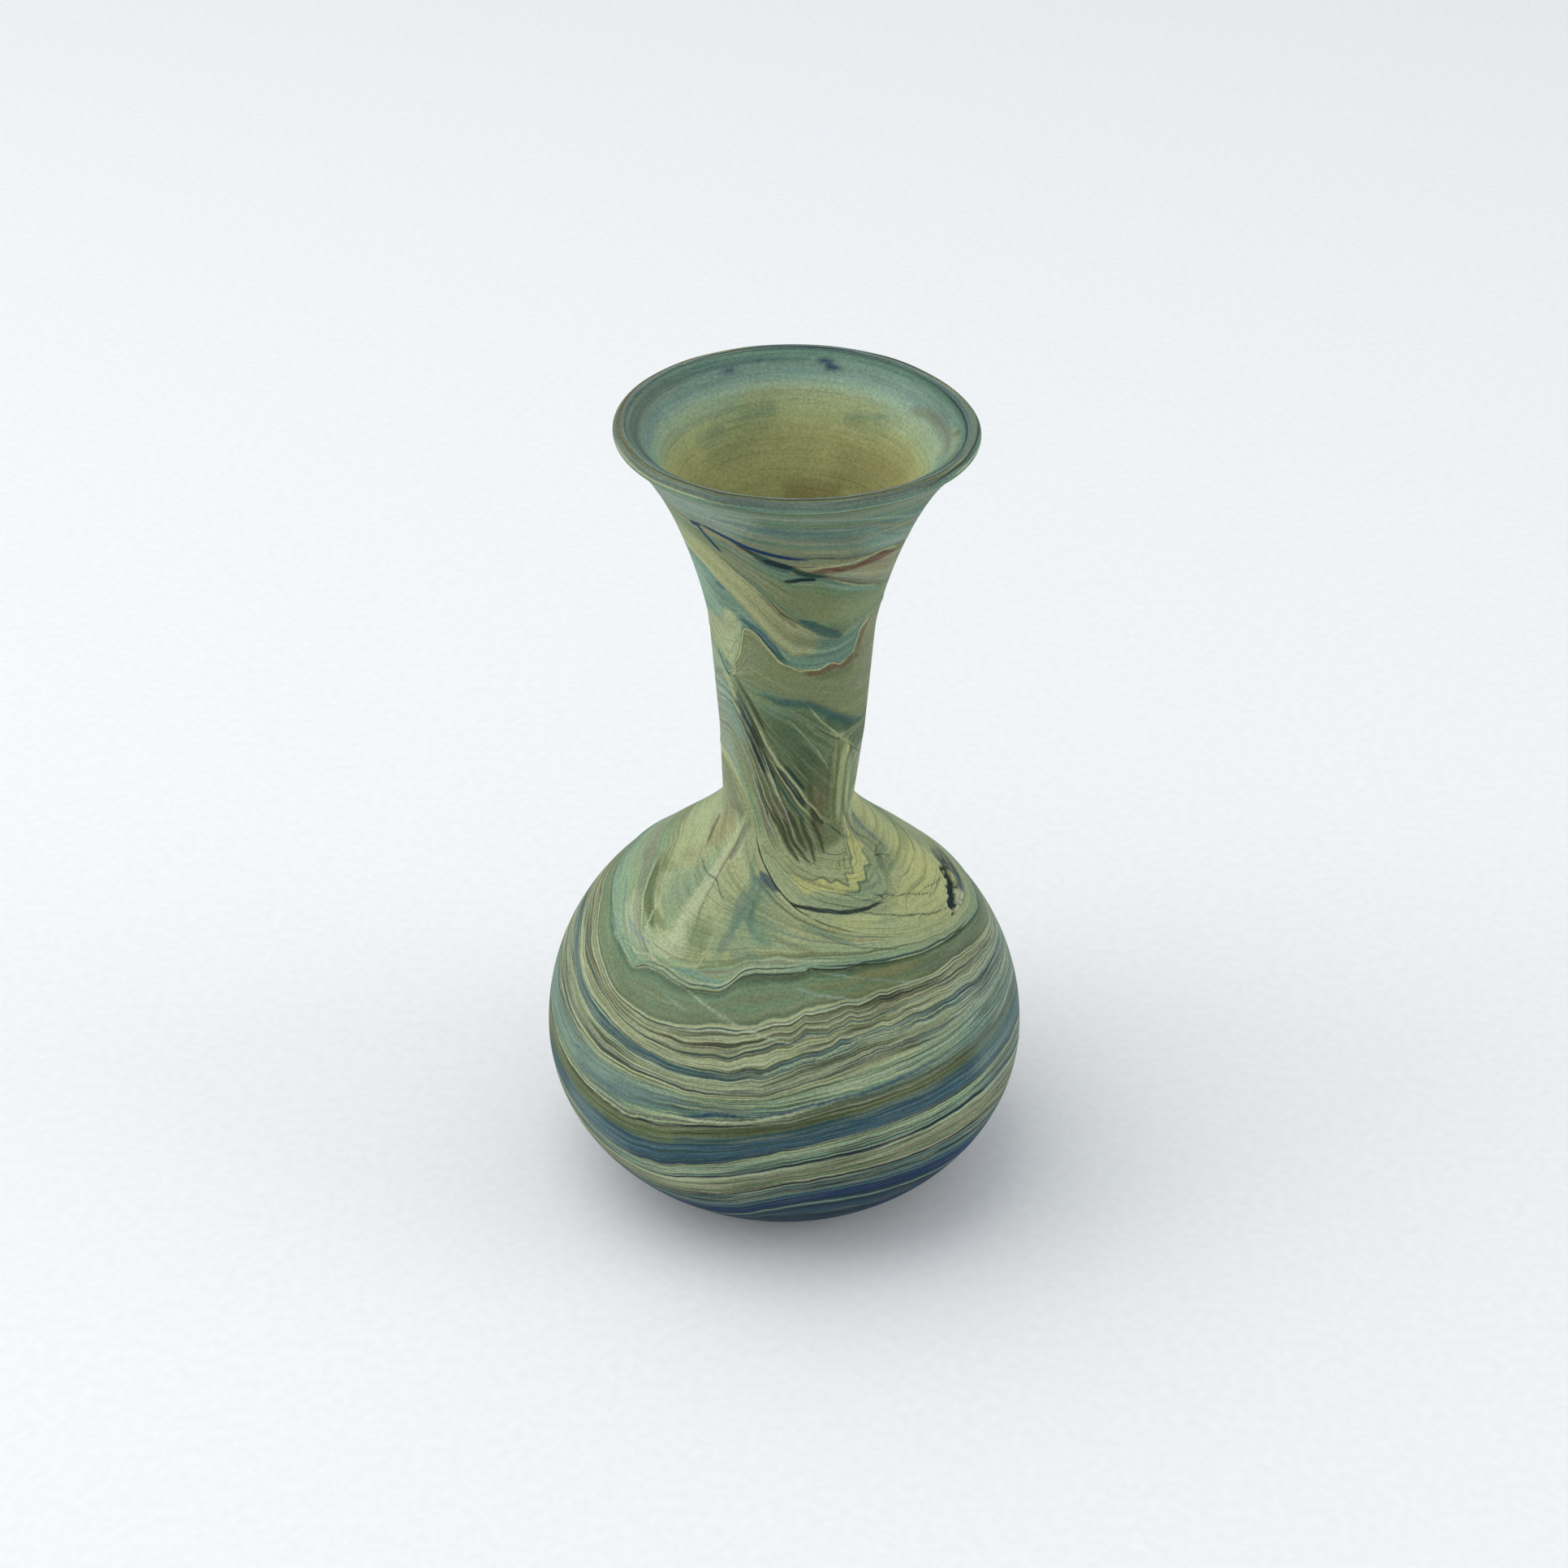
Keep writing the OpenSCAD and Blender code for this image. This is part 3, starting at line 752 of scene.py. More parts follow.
def paint_shoulder(c):
    c.patch("pear", 4, 0.7, [(-100, 79), (-84, 78), (-70, 74), (-56, 72), (-56, 68.6), (-66, 66.4),
        (-80, 67), (-100, 70)])
    c.patch("ochre", 3, 0.6, [(-74, 69.6), (-66, 70), (-64, 67.8), (-76, 67.6)])
    c.patch("ochre", 2.6, 0.7, [(-72, 80), (-56, 80), (-54, 73), (-60, 71), (-68, 73)])
    c.patch("tan", 3, 0.6, [(-90, 86), (-56, 86), (-52, 80), (-56, 76.5), (-74, 76), (-90, 78)])
    c.thread("clay", 1.2, 1.2, 0.5, [(-66, 79), (-58, 78.6), (-50, 78.8), (-44, 79)])
    c.thread("moss", 2.2, 2, 0.35, [(-90, 64.6), (-80, 65.2), (-72, 66), (-66, 66.6)])
    c.thread("ochre", 1.2, 1.2, 0.7, [(-88, 65.6), (-80, 64.6), (-70, 63.4), (-60, 62.8), (-49, 62.4)])
    c.patch("sage", 3, 0.8, [(-66, 66.4), (-58, 68.6), (-49, 68.2), (-48, 64), (-52, 61.6), (-62, 63.4)])
    c.patch("sea", 3, 0.3, [(-62, 66), (-55, 67.6), (-50, 66.4), (-53, 63.6), (-60, 64.4)])
    c.patch("leaf", 2.5, 0.7, [(-56, 72), (-48, 72.6), (-46, 69), (-55, 69.6)])
    # brown and cream at the far left
    c.thread("brown", 0.9, 0.7, 0.75, [(-73, 75.6), (-72, 74.4), (-70, 73.3), (-67, 72.3), (-63, 71.2)])
    c.thread("cream", 0.6, 0.5, 0.8, [(-72, 73), (-69, 72), (-65, 71), (-61, 70.2), (-57, 69.4)])
    # the pale fold that hangs from the neck, and what lies beside it
    c.thread("pale", 2.4, 2.2, 0.85, [(-38, 79.4), (-41, 76.5), (-43, 73), (-43.5, 70), (-44.5, 66),
        (-45, 63), (-44, 60.5), (-42, 58.8)])
    c.thread("cream", 1.2, 1.2, 0.6, [(-37, 79.6), (-40.5, 76.5), (-42, 73), (-42.5, 69.5)])
    c.thread("plum", 1.5, 1.3, 0.55, [(-34.5, 78), (-36.5, 76), (-38.5, 73.6), (-39.5, 71.2)])
    c.thread("clay", 0.5, 0.5, 0.75, [(-37.5, 79.4), (-39.8, 77), (-40.8, 74), (-41.3, 70.5), (-41.2, 67.5),
        (-40.2, 65), (-38.6, 63.2), (-37, 61.4), (-35.5, 60)])
    c.patch("olive", 2.4, 0.5, [(-40, 63.6), (-33, 64.4), (-30, 61.5), (-32, 59.4), (-38, 60.2)])
    c.patch("pear", 2.4, 0.8, [(-39, 68.6), (-31, 67.4), (-29, 64.6), (-36, 64.4), (-40, 65.6)])
    c.thread("pale", 0.8, 0.9, 0.6, [(-36, 71), (-35.5, 74), (-33, 76.5)])
    c.patch("olive", 3, 0.4, [(-46, 87), (-36, 88), (-28, 84), (-27, 78), (-34, 74.6), (-44, 77)])
    c.patch("teal", 2, 0.45, [(-14, 70), (-8, 69.6), (-5, 68.4), (-8, 67), (-13, 67.4)])
    c.patch("pear", 2.5, 0.5, [(-35, 76), (-28, 75), (-20, 72.4), (-14, 70), (-24, 68), (-34, 70)])
    # the fine dark line across the fold
    c.thread("deep_teal", 0.3, 0.3, 0.75, [(-60, 69.7), (-56, 69.3), (-52, 68.8), (-48, 68.5), (-44, 68.5),
        (-40, 68.3), (-37, 67.7), (-33, 67), (-29, 66.2)], raised=-0.05)
    c.thread("pale", 0.3, 0.3, 0.5, [(-58, 69.1), (-52, 68.4), (-44, 68.2), (-39, 67.9), (-33, 66.6)])
    # threads along the lower left edge
    c.thread("moss", 2, 1.4, 0.85, [(-84, 64.9), (-78, 63.9), (-73, 62.8), (-68, 61.9), (-63, 61),
        (-58, 60.3), (-54, 59.8)])
    c.thread("moss", 1.4, 1.4, 0.6, [(-62, 61.5), (-56, 61), (-49, 60.5)])
    c.thread("umber", 0.2, 0.2, 0.8, [(-88, 65.6), (-80, 63.8), (-75, 62.7), (-70, 61.6), (-65, 60.5),
        (-60, 59.3), (-56, 58.5)])
    c.thread("pale", 0.4, 0.4, 0.8, [(-90, 65.4), (-80, 63.3), (-75, 62.3), (-70, 61.2), (-65, 60.2),
        (-60, 59), (-55, 58.1), (-50, 57.3), (-44, 56.8)])
    c.patch("pale", 2, 0.8, [(-56, 59.4), (-48, 59.8), (-42, 61.6), (-38, 60), (-38, 58.6), (-47, 57.8)])
    c.patch("pale", 2.4, 0.6, [(-78, 61), (-70, 60.8), (-60, 58.6), (-54, 57.4), (-64, 57), (-74, 58.6)])
    c.thread("sky", 1.0, 1, 0.6, [(-70, 58.6), (-63, 57.9), (-56, 57.9), (-51, 58.2)])
    c.thread("teal", 0.2, 0.2, 0.7, [(-74, 58.6), (-70, 57.6), (-66, 56.7), (-63, 56.3), (-60, 56.5),
        (-56, 56.6), (-53, 56.9), (-49, 57.2)])
    c.thread("pale", 0.45, 0.3, 0.7, [(-62, 56.1), (-58, 56.3), (-54, 56.2), (-50, 56.8), (-45, 56.9)])
    c.thread("navy", 0.5, 0.5, 0.45, [(-76, 56.9), (-72, 56.5), (-67, 56.1)])
    c.thread("cream", 0.5, 0.4, 0.85, [(-41, 57.2), (-36, 57.8), (-32, 58.2), (-30, 58.5), (-29.3, 60),
        (-28.8, 62), (-28, 63.6)])
    c.thread("sea", 1.0, 0.7, 0.8, [(-40, 56.8), (-35, 57.4), (-29, 57.5), (-24, 57.2), (-19, 57.4)])
    c.thread("teal", 0.16, 0.14, 0.8, [(-41, 56.9), (-36, 57.2), (-30, 57.1), (-25, 57), (-20, 57.3)])
    # slate, teal and navy right of the fold: painted shadow beside the fold
    c.thread("slate", 1.6, 1.6, 0.5, [(-23, 69), (-22.5, 66.5), (-22, 64), (-24, 61.5), (-25, 59.5)])
    c.thread("teal", 1.8, 1.8, 0.6, [(-18, 69.6), (-17.5, 67.5), (-16, 65.6), (-12, 64.4), (-6, 63.4)])
    c.thread("leaf", 1, 1, 0.6, [(-27, 63), (-25.5, 60.6), (-23, 58.8)])
    c.patch("butter", 1.6, 0.7, [(-9, 67), (-4, 67.6), (2, 66.2), (10, 64.9), (2, 64.8), (-6, 65.6)])
    c.thread("deep_teal", 1.3, 1.4, 0.5, [(-17, 68.8), (-14, 68.2), (-15.5, 66.4), (-13.5, 65)])
    c.thread("teal", 1, 1, 0.6, [(-18, 65.4), (-14, 64), (-10, 63.1), (-4, 62.4)])
    c.thread("navy", 1.5, 1.2, 0.75, [(-17, 71.2), (-12, 70.3), (-8, 69.6), (-4, 68.9)])
    c.thread("steel", 1.6, 2.2, 0.5, [(-19, 70.6), (-16, 69.4), (-12, 68.6)])
    c.thread("teal", 1.8, 1.8, 0.4, [(-21, 60.8), (-14, 61.1), (-8, 60.6)])
    c.thread("pale", 0.5, 0.5, 0.6, [(-11, 60.6), (-4, 61), (4, 60.8), (12, 60.4), (20, 60.2)])
    c.patch("teal", 3, 0.25, [(-26, 69), (-18, 70.4), (-10, 68.6), (-5, 66), (-4, 63), (-12, 62), (-22, 62),
        (-26, 65)])
    c.thread("teal", 1.0, 0.9, 0.5, [(-25, 74), (-21, 71), (-19, 68), (-20, 65), (-23, 62.5)])
    # threads under the foot of the neck
    c.thread("cream", 0.3, 0.2, 0.85, beside(ROOT_SEAM, 4, 33, 4, -0.3))
    c.thread("brown", 1.0, 1.2, 0.4, [(-6, 63.8), (2, 62.7), (8, 62), (14, 61.2)])
    c.thread("teal", 1.1, 0.9, 0.6, [(6, 65), (13, 63.9), (20, 62.8), (28, 61.4)])
    c.thread("pine", 0.16, 0.16, 0.6, [(12, 64.2), (20, 62.4), (30, 60.8), (40, 59.3), (48, 58)])
    c.thread("moss", 0.16, 0.16, 0.6, [(2, 62.4), (10, 61.1), (16, 60.5), (24, 60)])
    c.thread("butter", 0.7, 0.6, 0.6, [(8, 66), (16, 64.6), (24, 63.2), (30, 62.3)])
    c.thread("pale", 0.4, 0.25, 0.8, [(-64, 64), (-60, 61), (-57, 59), (-52, 57.8), (-45, 56.8),
        (-38, 56.1)])
    c.patch("sage", 3, 0.4, [(-70, 66.6), (-58, 67), (-50, 65.6), (-52, 62), (-62, 62), (-72, 63.6)])
    c.patch("sage", 2.6, 0.45, [(-14, 69.4), (-8, 68.6), (-2, 67), (4, 65.4), (-4, 63.4), (-12, 64.6)])
    c.patch("pear", 1.4, 0.7, [(40, 60.6), (52, 60), (64, 58.8), (76, 57), (80, 55.9), (72, 56.4),
        (60, 57.8), (48, 59)])
    # the cream, dark and pale lines that run above the ragged seam, and a dark one farther right
    for rise, tint, width in ((0.25, "cream", 0.3), (0.55, "ink", 0.22), (0.85, "pale", 0.25)):
        c.thread(tint, width, 0.16, 0.85, beside(BELLY_SEAM, -54, 11, 3, rise))
    c.thread("ink", 0.4, 0.2, 0.8, beside(BELLY_SEAM, 9, 80, 5, 0.25))


# ---------------------------------------------------------------- neck

def paint_neck(c):
    # the pale foot of the neck that flows over the right of the shoulder
    c.patch("pear", 4, 0.7, [(-30, 76.5), (-14, 75.4), (4, 72.6), (20, 71.4), (34, 73), (46, 74.5),
        (60, 79), (80, 84), (100, 84), (110, 50), (60, 54), (30, 60), (0, 65), (-20, 70)])
    c.patch("straw", 5, 0.5, [(50, 64), (60, 65), (74, 66), (96, 66), (96, 58.6), (76, 58.4), (62, 60.2),
        (52, 62)])
    c.patch("straw", 4, 0.5, [(78, 80), (95, 80), (95, 62), (74, 62), (79, 66), (80, 71), (76, 76)])
    c.patch("sage", 0.6, 0.9, [(30, 67.6), (35, 67), (40, 66.2), (45, 65.9), (50, 65.2), (52.7, 65),
        (56, 65.6), (58.6, 66.3), (62.6, 67.1), (66, 66.7), (70, 66.8), (73, 68), (76, 69.6), (74, 72.6),
        (70, 76), (62, 75), (60, 71.4), (56, 70), (50, 69)])
    c.patch("fern", 1.5, 0.45, [(50, 70), (56, 71.6), (62, 74), (70, 74), (74, 71), (72, 68.6), (66, 67.4),
        (58, 66.8), (50, 66)])
    c.patch("sage", 1.2, 0.7, [(5, 69), (12, 68.2), (20, 67.8), (30, 67.5), (36, 66.6), (44, 66),
        (48, 65.6), (44, 65), (36, 65.3), (30, 65.7), (20, 66.4), (10, 67.3)])
    c.patch("fern", 0.8, 0.85, [(-8, 73.8), (0, 73.4), (10, 73.2), (20, 73), (30, 73), (38, 74), (46, 74.6),
        (47.7, 72.8), (45.6, 71), (43.4, 70.8), (40.5, 70), (36, 69.5), (33, 68.7), (30, 69.3), (26, 69),
        (21, 70), (10, 70.6), (4, 71.2)])
    c.thread("ink", 0.34, 0.16, 0.95, beside(ROOT_SEAM, -33, 16, 4, 0.15))
    c.thread("pine", 0.24, 0.16, 0.8, beside(ROOT_SEAM, 12, 36, 4, 0.12))
    # the cream ribbon with its stepped edge
    ribbon = [(2, 71), (5, 70.6), (10, 70.4), (16, 69.8), (21, 70), (26, 69), (29.5, 69.2), (33.5, 68.3),
        (35.5, 68), (35.7, 69.6), (41, 69.2), (41.8, 69.8), (40.5, 70), (43.4, 70.8), (46, 70.9),
        (46.7, 71.5), (47.7, 72.8), (49.4, 73.6), (52.8, 74.4), (54, 76.4), (54.6, 78.5), (53.4, 80.7),
        (51, 84), (47, 90), (46, 94), (50, 93), (54, 88), (59, 82.2), (59, 80), (58, 78), (56, 76.2),
        (55.4, 74.4), (55.4, 73.3), (58.6, 72.4), (60, 71.4), (55.6, 71.3), (56, 70.5), (56, 69.2),
        (50.5, 69.5), (49, 68.8), (46.5, 68), (41.3, 68.3), (41.2, 67.6), (39.6, 67.3), (33.5, 67.8),
        (30.4, 67.7), (24.5, 68.3), (16.5, 68.7), (11, 68.5), (7, 69.4)]
    c.patch("straw", 0.3, 0.9, ribbon, ragged=0.1)
    c.thread("butter", 0.8, 0.5, 0.9, [(-27, 75.9), (-20, 75.4), (-15, 74.6), (-10, 73.9), (-5, 73),
        (0, 71.8), (5, 70.6)])
    c.thread("clay", 0.5, 0.5, 0.5, [(-20, 74.6), (-14, 73.7), (-8, 72.8)])
    c.thread("moss", 0.4, 0.3, 0.8, [(5, 70.8), (10, 70.6), (16, 70), (21, 70.2), (26, 69.2), (29.5, 69.4),
        (33.5, 68.5), (35.5, 68.2), (36, 69.8), (41.5, 69.4), (42, 70), (43.4, 71), (46, 71.1), (47, 72.8),
        (52, 74.6)], sharp=True)
    c.thread("forest", 0.4, 0.3, 0.85, [(30, 67.6), (39.6, 67.1), (41.4, 67.5), (41.6, 68.2), (46.5, 67.8),
        (49.4, 68.7), (50.8, 69.3), (56, 69), (56.4, 70.4), (56, 71.2), (60, 71.2)], sharp=True)
    c.thread("moss", 0.7, 0.4, 0.7, [(58.6, 66.3), (62.6, 67.1), (61, 67.8), (66, 68.4), (65, 69.6),
        (70, 70), (68, 71.6), (62, 73), (59, 75), (61, 79)], sharp=True)
    c.thread("slate", 0.5, 0.5, 0.4, [(46, 66), (50, 67), (54, 66.6), (57, 68.2), (62, 68), (64, 70),
        (62, 72), (58, 74.6), (57, 78), (54, 83), (51, 88)])
    c.thread("moss", 0.5, 0.4, 0.7, [(18, 73.2), (22, 71.6), (25, 72.4), (28, 71), (31, 71.9), (34, 70.5),
        (36, 71.8), (38, 70.6), (41, 72.4), (43, 71.8), (45, 74)], sharp=True)
    c.thread("straw", 0.3, 0.3, 0.6, [(20, 72.6), (23, 71.2), (26, 72), (29, 70.6), (32, 71.5), (35, 70.2),
        (37, 71.4), (39, 70.4), (42, 72)], sharp=True)
    c.thread("slate", 1.1, 0.9, 0.6, [(76.5, 68), (75, 70), (72, 72.6), (69.5, 75), (70.5, 77.6)])
    c.thread("butter", 0.5, 0.4, 0.6, [(66, 73.4), (69, 71.2), (73, 69.4)])
    c.thread("butter", 1.2, 0.9, 0.55, [(66, 66), (72, 66.6), (77, 68), (77.6, 71), (75, 75)])
    c.thread("butter", 0.8, 0.7, 0.6, [(54, 64.4), (60, 64.6), (67, 65.6)])
    c.patch("straw", 2, 0.5, [(22, 64.9), (34, 64.4), (44, 63.4), (36, 62.9), (26, 63.6)])
    # the dark crack with a notch
    c.thread("ink", 0.85, 0.3, 0.95, [(1, 67.9), (4, 67.4), (7, 67.1), (10, 66.9), (15, 66.5), (20, 66.1),
        (25, 65.6), (30, 65.4), (35, 65.1), (40, 64.9), (45, 64.8), (50.5, 64.4)],
             raised=-0.08)
    c.thread("ink", 0.3, 0.2, 0.9, [(51, 64.4), (49.4, 65), (47.6, 65.8), (49.6, 65.1),
        (50.6, 64.6)], sharp=True)
    c.thread("deep_teal", 0.3, 0.2, 0.8, [(45, 66), (49, 65.4), (53, 65), (56, 64.6)])
    for line, width in (
        ([(31, 65.6), (35, 64.9), (40, 64.1), (45, 63.3), (50, 62.5), (55, 61.5), (60, 60.7), (65, 59.8),
            (70, 59), (75, 58), (78, 57.5)], 0.3),
        ([(28, 68), (32, 67.3), (36, 66.6), (40, 66), (46, 65)], 0.22),
        ([(53, 64.8), (58, 64.1), (63, 63.3), (68, 62.3), (73, 61.3), (77, 60.6)], 0.24),
        ([(73, 62.2), (80, 61.1), (85, 60.3), (91, 59.3)], 0.24),
        ([(62, 69.6), (68, 68.8), (73, 67.8)], 0.24),
    ):
        c.thread("pine", width, 0.16, 0.8, line)
    c.comb(0.15, 4, [(-42, 118), (-20, 117), (0, 113), (60, 119), (100, 119), (100, 97), (40, 98), (0, 102),
        (-30, 106)])
    c.comb(0.3, 4, [(-10, 101), (10, 99), (34, 94), (34, 88), (20, 86), (4, 91), (-8, 95)])
    c.comb(1.0, 3, [(-48, 105), (-30, 103), (-12, 94), (4, 89), (20, 83), (40, 78), (46, 74), (20, 72.6),
        (0, 75), (-20, 78), (-36, 92)])
    paint_strands(c)
    paint_upper_neck(c)
    paint_crease(c)


def paint_strands(c):
    """The bundle of drawn out dark and cream threads that fans down the neck."""
    c.patch("moss", 4, 0.8, [(-44, 104), (-30, 102), (-20, 101), (0, 99), (20, 96), (34, 92), (38, 84),
        (42, 77), (30, 73.5), (10, 73.6), (-6, 76), (-20, 82), (-34, 92)])
    c.patch("forest", 5, 0.9, [(-26, 104), (-8, 103), (14, 102), (30, 98), (34, 92), (26, 88), (10, 88),
        (0, 92), (-14, 97)])
    foot = [(18, 91), (34, 94), (43, 94), (47, 90), (49, 84), (49.5, 79), (48, 75.4), (42, 74), (34, 73.2),
        (24, 73), (12, 73.2), (0, 74.6), (-9, 77), (-4, 81), (8, 86)]
    c.patch("moss", 1.6, 0.95, foot)
    c.patch("olive", 4, 0.4, foot)
    c.comb(0.25, 2, foot)
    c.patch("fern", 2, 0.75, [(-10, 75.6), (2, 74.6), (14, 73.8), (26, 73.6), (36, 74), (43, 73.6),
        (38, 71.8), (24, 70.8), (10, 71), (-4, 72.6)])
    for tint, width, line in (
        ("umber", 1.2, [(14, 88), (18, 83), (21, 79), (25, 75.8)]),
        ("brown", 1.2, [(23, 91), (25, 84), (27, 79), (30, 75.8)]),
        ("umber", 0.9, [(30, 93), (32, 86), (34, 80), (37, 76)]),
        ("brown", 0.9, [(40, 92), (42, 86), (43, 80), (44.5, 76)]),
        ("forest", 0.7, [(35, 92), (37, 86), (38.5, 80), (41, 76)]),
        ("olive", 0.8, [(45, 93), (47, 86), (48, 80), (49, 76)]),
    ):
        c.thread(tint, width, width, 0.6, line)
    c.patch("brown", 5, 0.15, [(12, 86), (26, 88), (38, 86), (42, 78), (32, 75), (16, 80)])
    c.patch("olive", 1.6, 0.6, [(34, 92), (46, 93), (48.5, 84), (49, 79), (47, 76), (40, 75.2), (34, 76),
        (32, 84)])
    c.patch("umber", 3, 0.4, [(2, 93), (14, 94), (22, 90), (16, 86), (4, 89)])
    c.patch("forest", 3, 0.5, [(8, 97), (24, 95), (32, 90), (28, 85), (16, 87), (8, 91)])
    c.patch("clay", 3, 0.6, [(-26, 84), (-10, 81), (4, 77), (14, 74.6), (0, 75.4), (-16, 77), (-24, 79)])
    c.patch("forest", 1.5, 0.7, [(40, 98), (60, 97), (92, 95.6), (92, 90.4), (66, 90.4), (54, 92.4),
        (46, 94.4)])
    c.patch("mist", 2.4, 0.4, [(58, 90.6), (92, 90), (92, 84), (62, 84)])
    darks = [
        ("umber", 1.0, [(-49, 107), (-45, 106.7), (-40, 105.7), (-35, 104.3), (-30, 102.4), (-25, 100),
            (-20, 97.6)]),
        ("umber", 1.0, [(-47, 104.6), (-43, 104), (-38, 102.4), (-32, 99.6), (-26, 96.6), (-20, 93.4)]),
        ("ink", 1.0, [(-47, 103.8), (-42, 102), (-37, 100), (-32, 97.6), (-27, 95), (-22, 92.2),
            (-16, 89.6), (-10, 86.8)]),
        ("umber", 1.5, [(-34, 97), (-28, 94.2), (-22, 91.6), (-16, 88.8)]),
        ("ink", 0.9, [(-43, 100.6), (-37, 97.4), (-32, 94.4), (-28, 92.2), (-23, 90), (-18, 88.4)]),
        ("ink", 1.2, [(-14, 91), (-8, 89.4), (-3, 87.9), (2, 86.4), (8, 84.4), (14, 82)]),
        ("pine", 0.8, [(-6, 91.4), (0, 89.4), (6, 87.4), (12, 85.6)]),
        ("umber", 0.9, [(16, 82), (22, 80), (27, 78.6), (32, 77.4)]),
        ("deep_teal", 0.6, [(-14, 88.4), (-8, 86.4), (-2, 84.4), (6, 81.6), (14, 79)]),
        ("umber", 0.8, [(-16, 82), (-9, 79), (-3, 76.4), (2, 74.4), (9, 72.2)]),
        ("umber", 0.7, [(-6, 80), (1, 77), (6, 75.2), (11, 73.4), (17, 71.7)]),
        ("umber", 0.7, [(8, 80.6), (13, 77.6), (17, 75.2), (18.4, 73.6), (18.8, 71.8)]),
        ("umber", 0.7, [(20, 79), (24, 76.8), (26.4, 75), (27.6, 73)]),
        ("brown", 0.9, [(-12, 85), (-6, 82), (0, 79.4), (6, 77)]),
        ("umber", 0.8, [(-2, 82), (4, 79), (9, 76.4), (14, 74)]),
        ("umber", 0.4, [(-56, 99.4), (-50, 97.4), (-46, 95.2), (-42, 93.2), (-38, 91.2)]),
        ("umber", 0.5, [(-30, 87.4), (-25, 84.6), (-21, 82), (-17, 79.4)]),
    ]
    for tint, width, line in darks:
        c.thread(tint, width, 0.45, 0.85, line)
    lights = [
        (0.26, "cream", [(-28, 99.6), (-22, 96.8), (-18, 94.5), (-14, 92.6), (-10, 91.3), (-5, 89.7),
            (0, 88.1), (5, 86.6), (10, 84.9), (15, 83.1), (20, 81.6), (25, 80.1), (30, 78.6), (36, 77.1)]),
        (0.24, "cream", [(-20, 93), (-14, 91), (-10, 89.1), (-5, 87.4), (0, 85.8), (5, 84), (10, 82.2),
            (15, 80.8), (21, 79)]),
        (0.3, "sky", [(-46, 103.4), (-42, 102.5), (-38, 101), (-35, 99.7), (-31, 97.9)]),
        (0.22, "mist", [(-26, 94.6), (-22, 92.3), (-18, 89.9), (-14, 87.6), (-10, 85.6), (-7, 84), (-4, 82),
            (-1, 79.8), (3, 77.6), (9, 75.2)]),
        (0.2, "tan", [(-34, 101.4), (-29, 99.8), (-24, 97.6)]),
        (0.2, "tan", [(-15, 84), (-10, 81.4), (-5, 78.6), (0, 76.6)]),
        (0.35, "mist", [(-50, 97.2), (-45, 94.5), (-40, 92), (-36, 89.7)]),
        (0.3, "mist", [(-34, 88.6), (-30, 86.4), (-26, 83.8), (-21, 80.6), (-16, 78.2), (-9, 75.8)]),
        (0.34, "cream", [(4, 105.8), (10, 104), (15, 102.2), (20, 100.4), (27, 98.7), (35, 96.3),
            (40, 95.1), (46, 93.9), (52, 92.6), (58, 91.2), (64, 89.8)]),
        (0.2, "leaf", [(-6, 101.4), (2, 99.6), (12, 96.2), (20, 93.4), (28, 90.2), (35, 88)]),
        (0.3, "tan", [(0, 78.6), (6, 76), (11, 74), (15, 72.4)]),
        (0.3, "tan", [(14, 79), (19, 76.6), (21.6, 74.4), (23, 72.6)]),
        (0.25, "fern", [(-14, 79), (-8, 76.4), (-2, 74.2), (6, 72)]),
    ]
    for width, tint, line in lights:
        c.thread(tint, width, 0.2, 0.85, line)
    c.thread("pine", 0.3, 0.2, 0.85, [(36, 77.2), (40, 76.2), (44, 75.4), (48, 74.3), (53, 73.3)])
    c.thread("pine", 0.3, 0.2, 0.8, [(44, 94.3), (50, 92.8), (56, 91.4), (64, 89.8), (74, 88)])
    c.thread("leaf", 0.3, 0.3, 0.7, [(54, 91), (60, 90.1), (68, 88.6), (78, 87)])
    c.thread("moss", 0.9, 0.6, 0.8, [(38.6, 94.6), (38.6, 90), (39.4, 85), (41, 80), (43, 77)])
    c.thread("fern", 1.4, 0.9, 0.8, [(44.6, 93.4), (45, 89), (46, 84), (47.4, 80), (48.6, 76.4)])
    c.thread("butter", 0.3, 0.3, 0.6, [(35.4, 95), (35, 92), (36.4, 89), (38.6, 85)])
    c.thread("forest", 1.0, 0.6, 0.8, [(50.6, 92), (52, 87), (53, 83), (54.6, 79), (57.6, 75.6)])
    c.thread("leaf", 1.6, 1.2, 0.6, [(54, 90.4), (56, 86), (58, 82), (62, 77)])
    c.thread("green", 1.6, 1.4, 0.6, [(62, 88), (64, 82), (67, 77)])
    c.patch("ochre", 4, 0.45, [(66, 88), (80, 87), (90, 80), (76, 80), (70, 82)])


